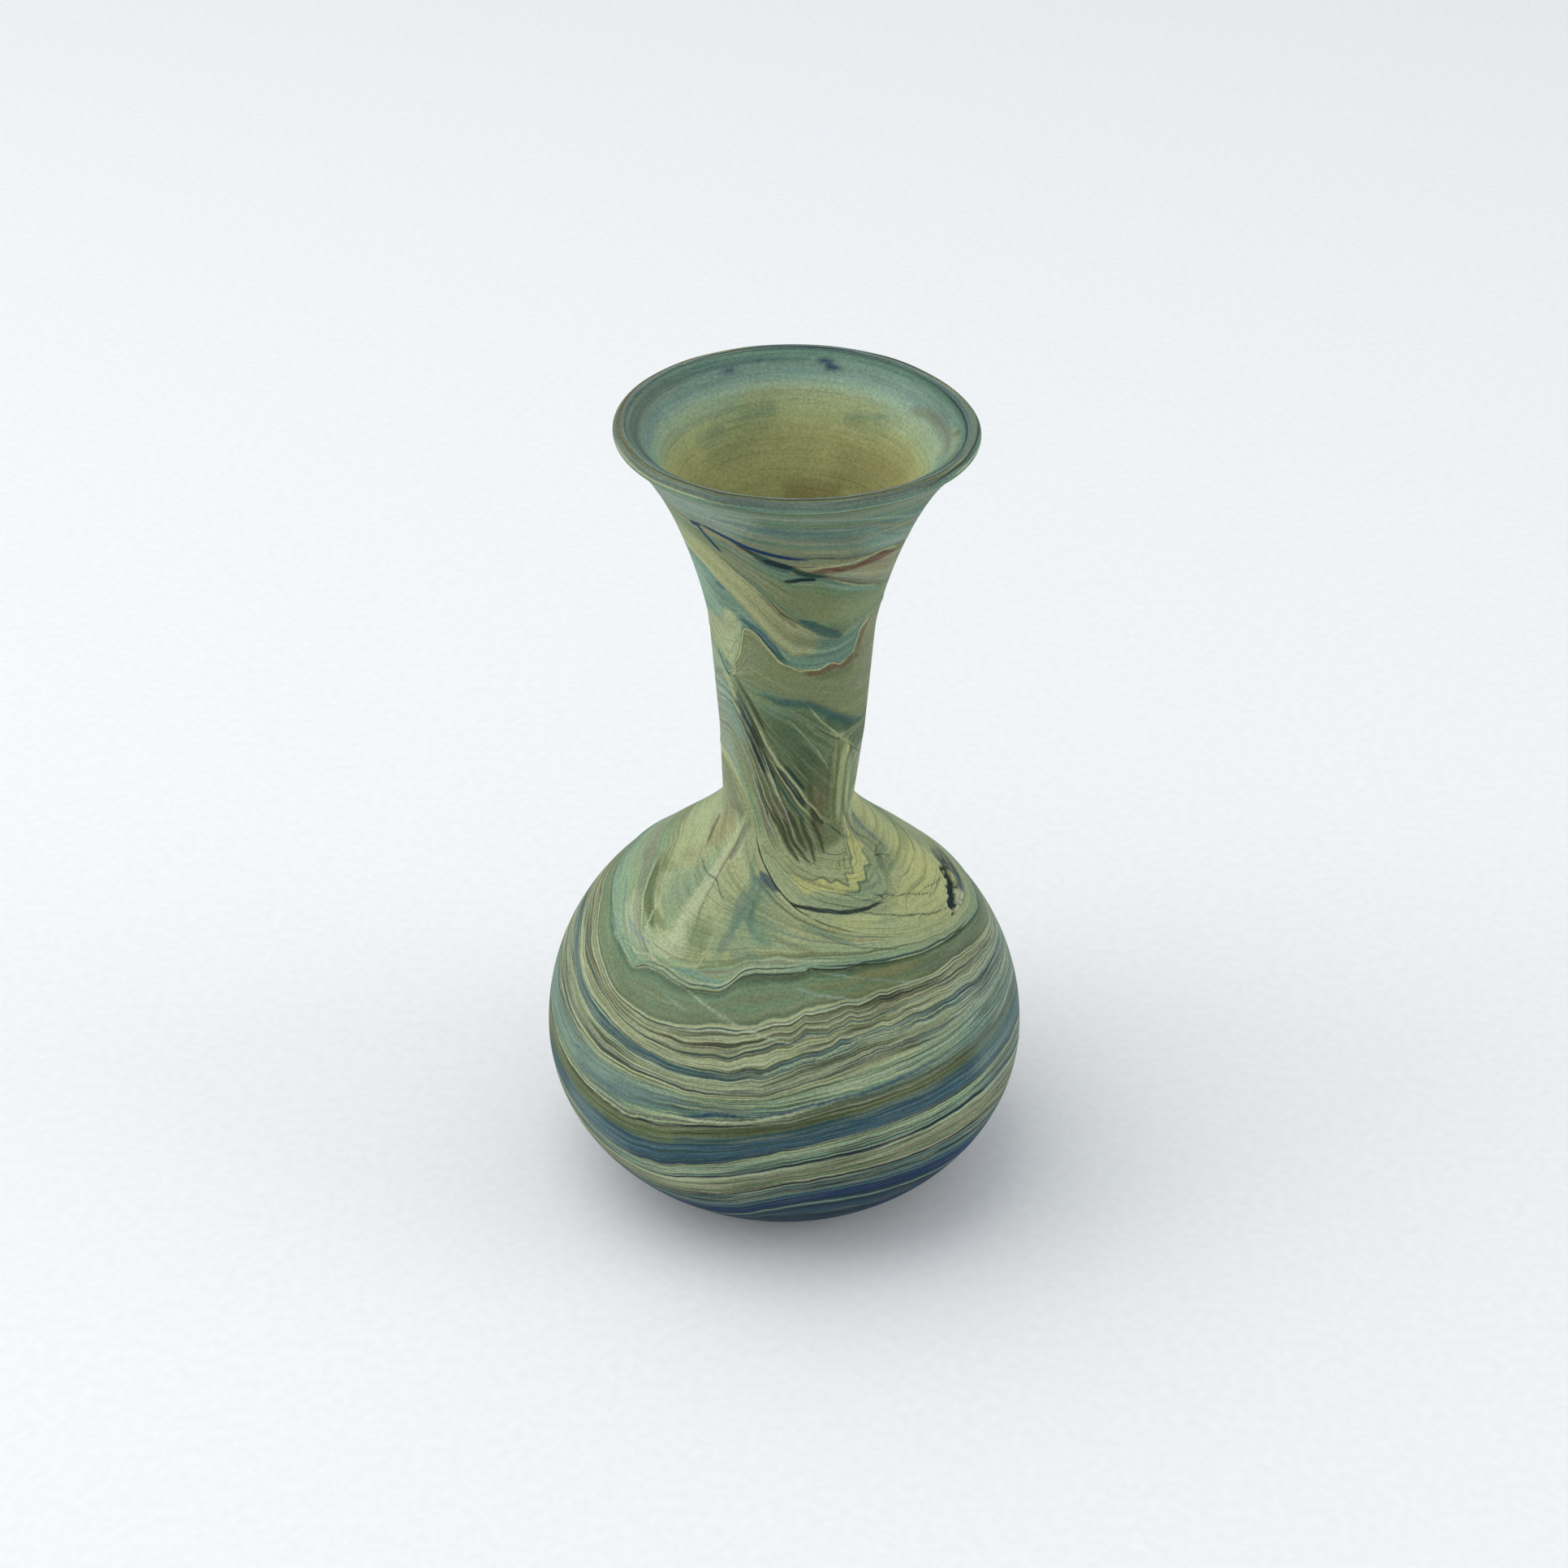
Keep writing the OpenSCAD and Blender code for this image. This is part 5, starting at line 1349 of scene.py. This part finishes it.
LIP_BANDS = [
    (0, "sea"), (0.2, "teal"), (0.32, "flange"), (0.38, "slate"), (0.43, "lip_brown"), (0.5, "slate"),
    (0.6, "lip_brown"), (0.68, "moss"), (0.73, "bark"), (0.77, "lip_brown"), (0.84, "sky"), (0.9, "slate"),
    (1, "slate"),
]
# The colours of the inside by height in mm, painted lighter as painted glow of the light that comes through
# the thin walls.
LINING_BANDS = [
    (60, "glowing_inside_rust"), (112, "glowing_inside_rust"), (122, "glowing_inside_gold"), (138, "glowing_inside_gold"),
    (141.5, "glowing_inside_pear"), (143.6, "glowing_inside_pale"), (145.4, "glowing_inside_sea"), (147, "glowing_inside_blue"),
    (148.4, "glowing_inside_teal"), (149.6, "teal"), (152, "slate"),
]


def strata_between(low_seam, high_seam, levels):
    """A function that gives the level, 0 at the low seam and one more at each line up."""
    def strata(angle, run):
        lines = [line_at(points, angle) for points in (low_seam, *levels, high_seam)]
        tops = run_at(np.stack(lines))
        middle = tops.mean(axis=1)
        level = np.clip((run - tops[0]) / 3, -1, 0)
        even = middle[0] + (run - tops[0])
        for i in range(len(tops) - 1):
            t = (run - tops[i]) / np.maximum(tops[i + 1] - tops[i], 0.05)
            inside = run >= tops[i]
            level = np.where(inside, i + np.minimum(t, 1), level)
            even = np.where(inside, middle[i] + t * (middle[i + 1] - middle[i]), even)
        return level, even
    return strata


def seam_run(seam, lift=0.0):
    """A function that gives the run of a seam at any angle, lift mm farther up."""
    return lambda angle: run_at(line_at(seam, angle)) + lift


def collar_top(angle):
    """The collar ends under the lip."""
    return np.full(np.shape(angle), RUN_END)


def collar_strata(angle, run):
    """The share of the way up the collar, and an even height in mm."""
    low = run_at(line_at(COLLAR_SEAM, angle))
    t = (run - low) / (RUN_END - low)
    return t, RUN_END + (t - 1) * 13


def lip_bulge(angle):
    """The lip is thicker where the maker's tool pinched it, at the right."""
    return 1 + 0.22 * hump(wrapped(angle - 96), 20) - 0.06 * np.sin(np.radians(angle) * 2)


def make_lip():
    """The rounded thread on the end of the wall. Its section is a half circle with a straight back."""
    cols = 420
    angle = columns(cols)
    bends = np.linspace(0, np.pi, 30)
    flat = np.linspace(-1, 1, 6)[1:-1]
    bulge = lip_bulge(angle)[None, :]
    u = np.concatenate([np.cos(bends), flat])[:, None] * LIP_R * (0.6 + 0.4 * bulge)
    v = np.concatenate([np.sin(bends), 0 * flat])[:, None] * LIP_R * 1.04 * bulge
    # the lip follows the end of the wall, which is neither level nor quite round
    end = place(angle, np.full(cols, RUN_END), np.zeros(cols))
    end_r = np.hypot(end[:, 0] - lean(OUT_Z[-1]), end[:, 1])
    r = MOUTH_R - LIP_R + u * np.cos(MOUTH_LEAN) + v * np.sin(MOUTH_LEAN) + (end_r - OUT_R[-1])
    z = HEIGHT - LIP_R - u * np.sin(MOUTH_LEAN) + v * np.cos(MOUTH_LEAN) + (end[:, 2] - OUT_Z[-1])
    a = np.radians(angle)[None, :]
    points = np.stack([r * np.sin(a) + lean(HEIGHT), -r * np.cos(a), z], -1)
    uneven = lattice_noise(points.reshape(-1, 3), 6, 5).reshape(r.shape)
    points[:, :, 2] += 0.06 * uneven
    across_lip = np.concatenate([bends * LIP_R, np.linspace(np.pi * LIP_R, 0, 6)[1:-1]])
    canvas = Canvas(np.broadcast_to(angle, r.shape), np.repeat(across_lip[:, None], cols, 1), np.asarray)
    canvas.per_degree = np.full(r.size, np.radians(MOUTH_R))
    canvas.spot = points.reshape(-1, 3)
    canvas.run = np.repeat(across_lip, cols) + 0.16 * lattice_noise(canvas.spot, 5, 6)
    paint_lip(canvas)
    fields = canvas.fields(canvas.run / LIP_R / np.pi, canvas.run)
    return make_mesh("lip_glass", points, True, fields)


def paint_lip(c):
    """Threads on the lip, where the second number is mm across it, from the outside to the inside."""
    c.thread("cream", 0.45, 0.3, 0.9, [(-120, 1.2), (-90, 1.2), (-70, 1.2), (-50, 1.15), (-30, 1.1),
        (-14, 1.1)])
    c.thread("ink", 0.4, 0.25, 0.8, [(-150, 0.9), (-120, 0.8), (-90, 0.7), (-66, 0.6)])
    c.thread("clay", 0.9, 0.6, 0.6, [(-150, 2.6), (-120, 2.9), (-90, 3), (-64, 2.9)])
    c.thread("butter", 0.5, 0.4, 0.8, [(130, 2.9), (112, 3), (96, 3), (82, 2.9), (66, 2.8)])
    c.thread("flange", 1.6, 0.6, 0.9, [(140, 2.2), (160, 2.4), (180, 2.4), (200, 2.4), (220, 2.2)])
    c.thread("ink", 0.3, 0.25, 0.9, [(140, 3.7), (160, 3.6), (180, 3.5), (200, 3.4), (220, 3.6)])
    c.thread("ochre", 0.4, 0.3, 0.7, [(196, 3.2), (210, 3.1), (224, 3.2)])
    # the pinched fold at the right
    c.patch("teal", 0.5, 0.95, [(46, 1.2), (54, 0.2), (64, -0.4), (96, -0.4), (114, 0.6), (104, 1.7),
        (86, 2), (70, 2.1), (56, 1.9)])
    c.patch("flange", 0.5, 0.9, [(58, 2.9), (70, 2.5), (90, 2.4), (112, 2.3), (112, 3.2), (90, 3.3),
        (70, 3.4)])
    c.thread("teal", 0.8, 0.4, 0.85, [(62, 0.7), (70, 0.5), (78, 0.8), (84, 0.5)])
    c.thread("navy", 0.5, 0.3, 0.85, [(66, 1.1), (74, 0.9), (80, 0.2)])
    c.thread("pale", 0.4, 0.3, 0.8, [(56, 1.3), (64, 1.4), (72, 1.3), (82, 1.2)])
    c.thread("ink", 0.3, 0.25, 0.8, [(40, 1.5), (52, 2), (64, 2.3), (80, 2.3), (98, 2.1), (118, 1.8)])


def lining_section():
    """Runs and depths of the bubble's inside, from the middle of its floor up to the lip."""
    low = np.linspace(0.3, FOOT_RUN, 30)
    high = np.linspace(FOOT_RUN, RUN_END, 190)[1:]
    return np.concatenate([low, high])


def make_bubble():
    """The first gather of glass, which lines the whole vase and shows inside the mouth."""
    cols = 360
    angle = columns(cols)
    section = lining_section()
    runs = np.repeat(section[:, None], cols, 1)
    angles = np.repeat(angle[None, :], len(section), 0)
    thicker_floor = 0.6 * np.clip((FOOT_RUN + 14 - runs) / 20, 0, 1)
    # the mouth was folded out, which leaves a crease a little way inside the lip
    crease = 0.5 * np.clip((runs - RUN_END + 3.4) / 0.8, 0, 1) ** 2 * np.clip((RUN_END - runs) / 3, 0, 1)
    inside_depth = WALL_T * thinning(runs) + thicker_floor + crease
    inside = place(angles, runs, inside_depth)
    outer_runs = runs[::12][::-1]
    outer = place(angles[::12], outer_runs, (WRAP_T + 0.01) * thinning(outer_runs))
    points = np.concatenate([outer[::-1], inside[::-1]])
    inner_z = height_at(runs) - inside_depth * np.interp(runs, RUN, NORMAL_Z)
    canvas = Canvas(angles[::-1], runs[::-1], inner_run_at(section, inner_z[:, 0]))
    canvas.run = canvas.run * 0.5 + runs[::-1].ravel() * 0.5
    paint_mouth(canvas)
    level = np.interp(canvas.run, section, inner_z[:, 0])
    fields = with_hidden(canvas.fields(level, canvas.run), outer.shape[0] * cols, first=True)
    return make_mesh("bubble_glass", points, False, fields)


def inner_run_at(runs, heights):
    """A function that gives the run of a height on the inside of the bubble."""
    wide = runs > FOOT_RUN + 40
    return lambda height: np.interp(height, heights[wide], runs[wide])


def paint_mouth(c):
    """Marks on the inside, seen through the mouth. 180 is the back of the mouth."""
    c.patch("clay", 3, 0.4, [(-60, 149.4), (-90, 149.4), (-130, 149.2), (-130, 147.6), (-90, 147.2),
        (-60, 147.4)])
    c.patch("sky", 3, 0.6, [(-66, 147.4), (-90, 147.4), (-140, 148), (-160, 148.4), (-160, 146.8),
        (-120, 145.4), (-90, 145.2), (-66, 145.6)])
    c.patch("sea", 4, 0.5, [(-90, 145), (-120, 146), (-150, 147), (180, 147), (150, 146.6), (120, 146),
        (120, 142.8), (150, 143.6), (180, 144.2), (-150, 143.6), (-120, 142.6), (-90, 143.2)])
    # blue and dark marks under the rim, at the left and at the back
    c.thread("sky", 0.3, 0.3, 0.9, [(-64, 145.9), (-76, 145.8), (-90, 146.1), (-104, 146.4), (-118, 146.8)])
    c.thread("navy", 0.3, 0.3, 0.6, [(-134, 147), (-146, 147.4), (-160, 148.2), (-172, 148.9)])
    c.thread("dusk", 1.6, 1.4, 0.5, [(-150, 148.3), (-164, 148.7), (180, 148.9), (166, 148.8)])
    c.thread("navy", 0.7, 0.6, 0.9, [(158, 148.3), (163, 148.2), (168, 148.4), (174, 148.4)])
    c.thread("navy", 0.4, 0.3, 0.9, [(162, 148.1), (165, 147.8), (169, 147.9)])
    c.patch("green", 5, 0.35, [(188, 144), (204, 143.6), (222, 142), (232, 138), (222, 134), (204, 136),
        (190, 139)])
    c.patch("green", 4, 0.25, [(128, 143.6), (146, 143.6), (158, 142), (150, 139.6), (134, 140)])
    # marks at the right
    c.thread("ink", 0.4, 0.2, 0.9, [(83, 143.8), (86, 144.6), (88, 145.5)])
    c.thread("ink", 0.3, 0.2, 0.8, [(87, 148.4), (90, 148.6), (94, 148.7)])
    c.thread("cream", 1.6, 1.2, 0.5, [(62, 148.2), (74, 148.4), (86, 148.4), (98, 148.2)])
    c.thread("clay", 2.0, 1.6, 0.6, [(80, 146.2), (92, 146.8), (106, 146.8), (118, 146.2), (128, 145.4)])
    c.thread("mist", 0.25, 0.2, 0.4, [(92, 148.5), (102, 148.5), (112, 148.3), (122, 147.9)])
    # pale inside glass at the right, painted lighter as painted glow through the walls
    c.patch("glowing_inside_pale", 3, 0.6, [(84, 146), (96, 146), (110, 145.4), (124, 144.4), (130, 142.6),
        (110, 142.2), (92, 142.6), (84, 143.6)])
    # teal, rust and gold farther down; the rust and gold are painted lighter, as painted glow of light
    # through the walls
    c.thread("teal", 1.4, 1.4, 0.5, [(134, 143), (146, 142), (158, 141)])
    c.thread("teal", 1.6, 1.4, 0.45, [(186, 141.8), (196, 141.6), (208, 140.8)])
    c.thread("teal", 2.2, 2, 0.35, [(214, 140.4), (226, 139.6), (236, 140)])
    c.patch("glowing_inside_rust", 3, 0.6, [(150, 131), (168, 130.6), (184, 130), (184, 126), (150, 126)])
    c.patch("glowing_inside_rust", 6, 0.4, [(156, 137), (136, 138.4), (112, 140), (104, 138), (112, 133),
        (136, 130), (156, 130)])
    c.patch("glowing_inside_gold", 4, 0.4, [(140, 144), (170, 145), (200, 144.4), (200, 142), (170, 142.6),
        (146, 142)])
    # small pale bubbles
    for angle, height in ((-104, 143.6), (-112, 145.2), (-128, 145.6), (176, 147.6), (160, 147.2),
                          (-94, 141), (-118, 140.4), (120, 146.6), (98, 147.6)):
        c.thread("pale", 0.35, 0.3, 0.8, [(angle, height), (angle + 1.2, height + 0.2)])


# ---------------------------------------------------------------- materials

class Nodes:
    """Short ways to add shader nodes to one material."""

    def __init__(self, name):
        self.material = bpy.data.materials.new(name)
        self.material.use_nodes = True
        self.tree = self.material.node_tree
        self.bsdf = self.tree.nodes["Principled BSDF"]

    def add(self, kind, **settings):
        node = self.tree.nodes.new(kind)
        for key, value in settings.items():
            setattr(node, key, value)
        return node

    def link(self, source, target):
        self.tree.links.new(source, target)

    def put(self, value, socket):
        """Links another node's output to the socket, or sets a plain value on it."""
        if isinstance(value, bpy.types.NodeSocket):
            self.link(value, socket)
        else:
            socket.default_value = value

    def attribute(self, name):
        return self.add("ShaderNodeAttribute", attribute_name=name)

    def math(self, operation, a, b=0.0, c=0.0):
        node = self.add("ShaderNodeMath", operation=operation)
        for value, socket in zip((a, b, c), node.inputs):
            self.put(value, socket)
        return node.outputs[0]

    def mix(self, amount, a, b, blend="MIX"):
        node = self.add("ShaderNodeMix", data_type="RGBA", blend_type=blend)
        self.put(amount, node.inputs["Factor"])
        self.put(a, node.inputs["A"])
        self.put(b, node.inputs["B"])
        return node.outputs["Result"]

    def noise(self, vector, scale, detail=3.0, rough=0.55):
        node = self.add("ShaderNodeTexNoise")
        self.put(vector, node.inputs["Vector"])
        node.inputs["Scale"].default_value = scale
        node.inputs["Detail"].default_value = detail
        node.inputs["Roughness"].default_value = rough
        return node.outputs["Fac"]

    def spread(self, value, low, high, new_low, new_high):
        """The value moved from the range low to high to the new range, and kept inside it."""
        node = self.add("ShaderNodeMapRange")
        self.put(value, node.inputs["Value"])
        names = ("From Min", "From Max", "To Min", "To Max")
        for name, number in zip(names, (low, high, new_low, new_high)):
            node.inputs[name].default_value = number
        return node.outputs["Result"]

    def bands(self, level, stops):
        """The colour of each level, from a list of (level, colour name)."""
        low, high = stops[0][0], stops[-1][0]
        at = self.spread(level, low, high, 0, 1)
        node = self.add("ShaderNodeValToRGB")
        self.link(at, node.inputs["Fac"])
        ramp = node.color_ramp
        while len(ramp.elements) > 1:
            ramp.elements.remove(ramp.elements[-1])
        for index, (stop, name) in enumerate(stops):
            position = (stop - low) / (high - low)
            element = ramp.elements[0] if index == 0 else ramp.elements.new(position)
            element.position = position
            element.color = colour(name)
        return node.outputs["Color"]

    def squeezed(self, vector, amount):
        """The vector with its level parts made small, so that noise read from it is long and thin."""
        node = self.add("ShaderNodeVectorMath", operation="MULTIPLY")
        self.put(vector, node.inputs[0])
        node.inputs[1].default_value = (amount, amount, 1)
        return node.outputs["Vector"]

    def grey(self, value):
        """The same value in all three channels."""
        node = self.add("ShaderNodeCombineColor")
        for socket in ("Red", "Green", "Blue"):
            self.put(value, node.inputs[socket])
        return node.outputs["Color"]

    def bump(self, height, strength, distance):
        node = self.add("ShaderNodeBump")
        node.inputs["Strength"].default_value = strength
        node.inputs["Distance"].default_value = distance
        self.link(height, node.inputs["Height"])
        self.link(node.outputs["Normal"], self.bsdf.inputs["Normal"])


def glass_material(name, band_lists, wander, streaks):
    """Matt marbled glass. The bands lie at the levels of the strata, with paint over them.

    wander is how many levels the bands stray, and streaks how strong the fine streaks are.
    """
    n = Nodes(name)
    streak = n.attribute("streak").outputs["Vector"]
    paint = n.attribute("paint")
    strata = n.attribute("strata").outputs["Fac"]
    lines = n.attribute("lines").outputs["Fac"]
    spot = n.add("ShaderNodeTexCoord").outputs["Object"]
    # noise read from these runs in streaks that keep to the bands
    long = n.squeezed(streak, 0.035)
    longer = n.squeezed(streak, 0.016)
    broad = n.noise(long, 0.55, 2.0)
    fine = n.noise(longer, 2.4, 4.0, 0.65)
    level = n.math("MULTIPLY_ADD", n.math("SUBTRACT", broad, 0.5), wander, strata)
    level = n.math("MULTIPLY_ADD", n.math("SUBTRACT", fine, 0.5), wander * 0.6, level)
    base = None
    for stops in band_lists:
        layer = n.bands(level, stops)
        if base is None:
            base = layer
        else:
            base = n.mix(n.math("GREATER_THAN", level, stops[0][0]), base, layer)
    tinted = n.mix(paint.outputs["Alpha"], base, paint.outputs["Color"])
    # streaks of lighter and darker glass, from broad to hair fine
    for vector, scale, amount in ((long, 0.9, 0.8), (longer, 2.1, 1.0), (longer, 5.0, 0.9)):
        value = n.noise(vector, scale, 2.0, 0.6)
        pale = n.math("MULTIPLY", n.spread(value, 0.56, 0.64, 0.0, streaks * amount), lines)
        dark = n.math("MULTIPLY", n.spread(value, 0.44, 0.36, 0.0, streaks * amount * 1.3), lines)
        tinted = n.mix(pale, tinted, colour("pale"))
        tinted = n.mix(dark, tinted, colour("bark"))
    # the etched surface has a fine grain
    grain = n.noise(spot, 2000.0, 2.0, 0.7)
    tinted = n.mix(1.0, tinted, n.grey(n.spread(grain, 0.3, 0.7, 0.8, 1.2)), "MULTIPLY")
    cloud = n.noise(spot, 60.0, 3.0)
    tinted = n.mix(1.0, tinted, n.grey(n.spread(cloud, 0.3, 0.7, 0.92, 1.08)), "MULTIPLY")
    n.link(tinted, n.bsdf.inputs["Base Color"])
    n.link(n.spread(n.noise(spot, 220.0, 3.0), 0.3, 0.7, 0.56, 0.68), n.bsdf.inputs["Roughness"])
    n.bsdf.inputs["Specular IOR Level"].default_value = 0.1
    height = n.math("MULTIPLY_ADD", grain, 0.25, n.math("MULTIPLY", fine, 0.75))
    n.bump(height, strength=0.16, distance=0.2 * MM)
    return n.material


def scar_material():
    """Rough dark glass with a swirl in it."""
    n = Nodes("scar_glass")
    spot = n.add("ShaderNodeTexCoord").outputs["Object"]
    swirl = n.noise(spot, 260.0, 4.0, 0.6)
    tint = n.mix(n.spread(swirl, 0.35, 0.65, 0, 1), colour("deep_teal"), colour("sky"))
    n.link(tint, n.bsdf.inputs["Base Color"])
    n.link(n.spread(n.noise(spot, 900.0, 3.0), 0.3, 0.7, 0.2, 0.5), n.bsdf.inputs["Roughness"])
    n.bump(n.noise(spot, 700.0, 4.0), strength=0.5, distance=0.4 * MM)
    return n.material


# ---------------------------------------------------------------- the scar under the base

def make_scar():
    """A rough button of glass, hollowed where the rod broke off."""
    cols = 96
    angle = np.arange(cols) * 360 / cols
    # how far the section hangs below the kick at each radius: a dip, a rough rim, and a flat back
    radius = np.array([0.2, 1.2, 2.4, 3.2, 3.9, 4.6, 5.4, 6.0, 6.5, 6.85, 7.0, 6.98, 6.9, 3.0, 0.2])
    drop = np.array([0.3, 0.34, 0.36, 0.55, 0.8, 0.9, 0.9, 0.88, 0.75, 0.55, 0.3, 0.1, 0.02, 0.01, 0.01])
    a = np.radians(angle)[None, :]
    wander = 1 + 0.05 * np.sin(3 * a + 1) + 0.03 * np.sin(5 * a)
    r = radius[:, None] * np.where(radius[:, None] > 2, wander, 1)
    # it stays inside the scar of the frame
    r = np.minimum(r, 7.1)
    flat = np.stack([r * np.sin(a), -r * np.cos(a), 0 * r], -1)
    chips = lattice_noise(flat.reshape(-1, 3), 1.3, 8).reshape(r.shape)
    z = KICK - drop[:, None] * (1 + 0.25 * chips)
    points = np.stack([r * np.sin(a), -r * np.cos(a), z], -1)
    return make_mesh("scar_glass", points, False, {})


# ---------------------------------------------------------------- build the vase

def finish_piece(piece, node, material):
    piece.data.materials.append(material)
    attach(piece, "root")
    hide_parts(node)


belly = make_belly()
finish_piece(belly, "belly_wrap", glass_material("belly_glass", BELLY_BANDS, wander=0.1, streaks=0.5))

shoulder = wrap_piece("shoulder_glass", seam_run(BELLY_SEAM), seam_run(ROOT_SEAM, 0.1), rows=180, cols=420,
                      painter=paint_shoulder, raised_low=0.22,
                      strata=strata_between(BELLY_SEAM, ROOT_SEAM, SHOULDER_LEVELS))
finish_piece(shoulder, "shoulder_wrap",
             glass_material("shoulder_glass", [SHOULDER_BANDS], wander=0.9, streaks=0.35))

neck = wrap_piece("neck_glass", seam_run(ROOT_SEAM), seam_run(THROAT_SEAM, 0.1), rows=250, cols=380,
                  painter=paint_neck, raised_low=0.1,
                  strata=strata_between(ROOT_SEAM, THROAT_SEAM, NECK_LEVELS))
finish_piece(neck, "neck_wrap", glass_material("neck_glass", [NECK_BANDS], wander=0.4, streaks=0.5))

throat = wrap_piece("throat_glass", seam_run(THROAT_SEAM), seam_run(COLLAR_SEAM, 0.05), rows=150, cols=420,
                    painter=paint_throat, raised_low=0.12,
                    strata=strata_between(THROAT_SEAM, COLLAR_SEAM, THROAT_LEVELS))
finish_piece(throat, "throat_wrap", glass_material("throat_glass", [THROAT_BANDS], wander=0.3, streaks=0.35))

collar = wrap_piece("collar_glass", seam_run(COLLAR_SEAM), collar_top, rows=90, cols=420,
                    painter=paint_collar, raised_low=0.06, strata=collar_strata)
finish_piece(collar, "collar_wrap", glass_material("collar_glass", [COLLAR_BANDS], wander=0.14, streaks=0.3))

lip = make_lip()
finish_piece(lip, "lip_thread", glass_material("lip_glass", [LIP_BANDS], wander=0.06, streaks=0.4))

bubble = make_bubble()
finish_piece(bubble, "inner_bubble", glass_material("bubble_glass", [LINING_BANDS], wander=2.2, streaks=0.2))

scar = make_scar()
finish_piece(scar, "base_scar", scar_material())

# ---------------------------------------------------------------- floor and light

def make_floor():
    """A plain pale sheet, 8 m across, with a faint grain."""
    data = bpy.data.meshes.new("floor")
    half = 4.0
    data.from_pydata([(-half, -half, 0), (half, -half, 0), (half, half, 0), (-half, half, 0)], [],
                     [(0, 1, 2, 3)])
    floor = bpy.data.objects.new("floor", data)
    bpy.context.scene.collection.objects.link(floor)
    n = Nodes("floor")
    spot = n.add("ShaderNodeTexCoord").outputs["Object"]
    grain = n.spread(n.noise(spot, 500.0, 2.0), 0.3, 0.7, 0.0, 1.0)
    tint = n.mix(grain, (0.86, 0.87, 0.89, 1), (0.9, 0.91, 0.92, 1))
    n.link(tint, n.bsdf.inputs["Base Color"])
    n.bsdf.inputs["Roughness"].default_value = 0.9
    n.bsdf.inputs["Specular IOR Level"].default_value = 0.1
    data.materials.append(n.material)


def area_light(name, place_m, size, power, tint):
    """A round soft light that looks at the middle of the vase."""
    data = bpy.data.lights.new(name, "AREA")
    data.shape = "DISK"
    data.size = size
    data.energy = power
    data.color = tint
    light = bpy.data.objects.new(name, data)
    light.location = place_m
    aim = Vector((0, 0, 0.06)) - Vector(place_m)
    light.rotation_euler = aim.to_track_quat("-Z", "Y").to_euler()
    bpy.context.scene.collection.objects.link(light)


def light_studio():
    """A pale room, a large light above at the left, and a smaller one at each side."""
    world = bpy.data.worlds.new("studio")
    world.use_nodes = True
    background = world.node_tree.nodes["Background"]
    background.inputs["Color"].default_value = (0.93, 0.97, 1.0, 1)
    background.inputs["Strength"].default_value = 0.635
    bpy.context.scene.world = world
    area_light("key", (-0.55, 0.0, 1.3), size=1.6, power=8.2, tint=(1.0, 0.99, 0.98))
    for side in (-1, 1):
        area_light("side", (side * 1.35, -0.25, 0.45), size=1.0, power=5.8, tint=(1.0, 0.99, 0.97))


make_floor()
light_studio()
bpy.context.scene.view_settings.view_transform = "Standard"
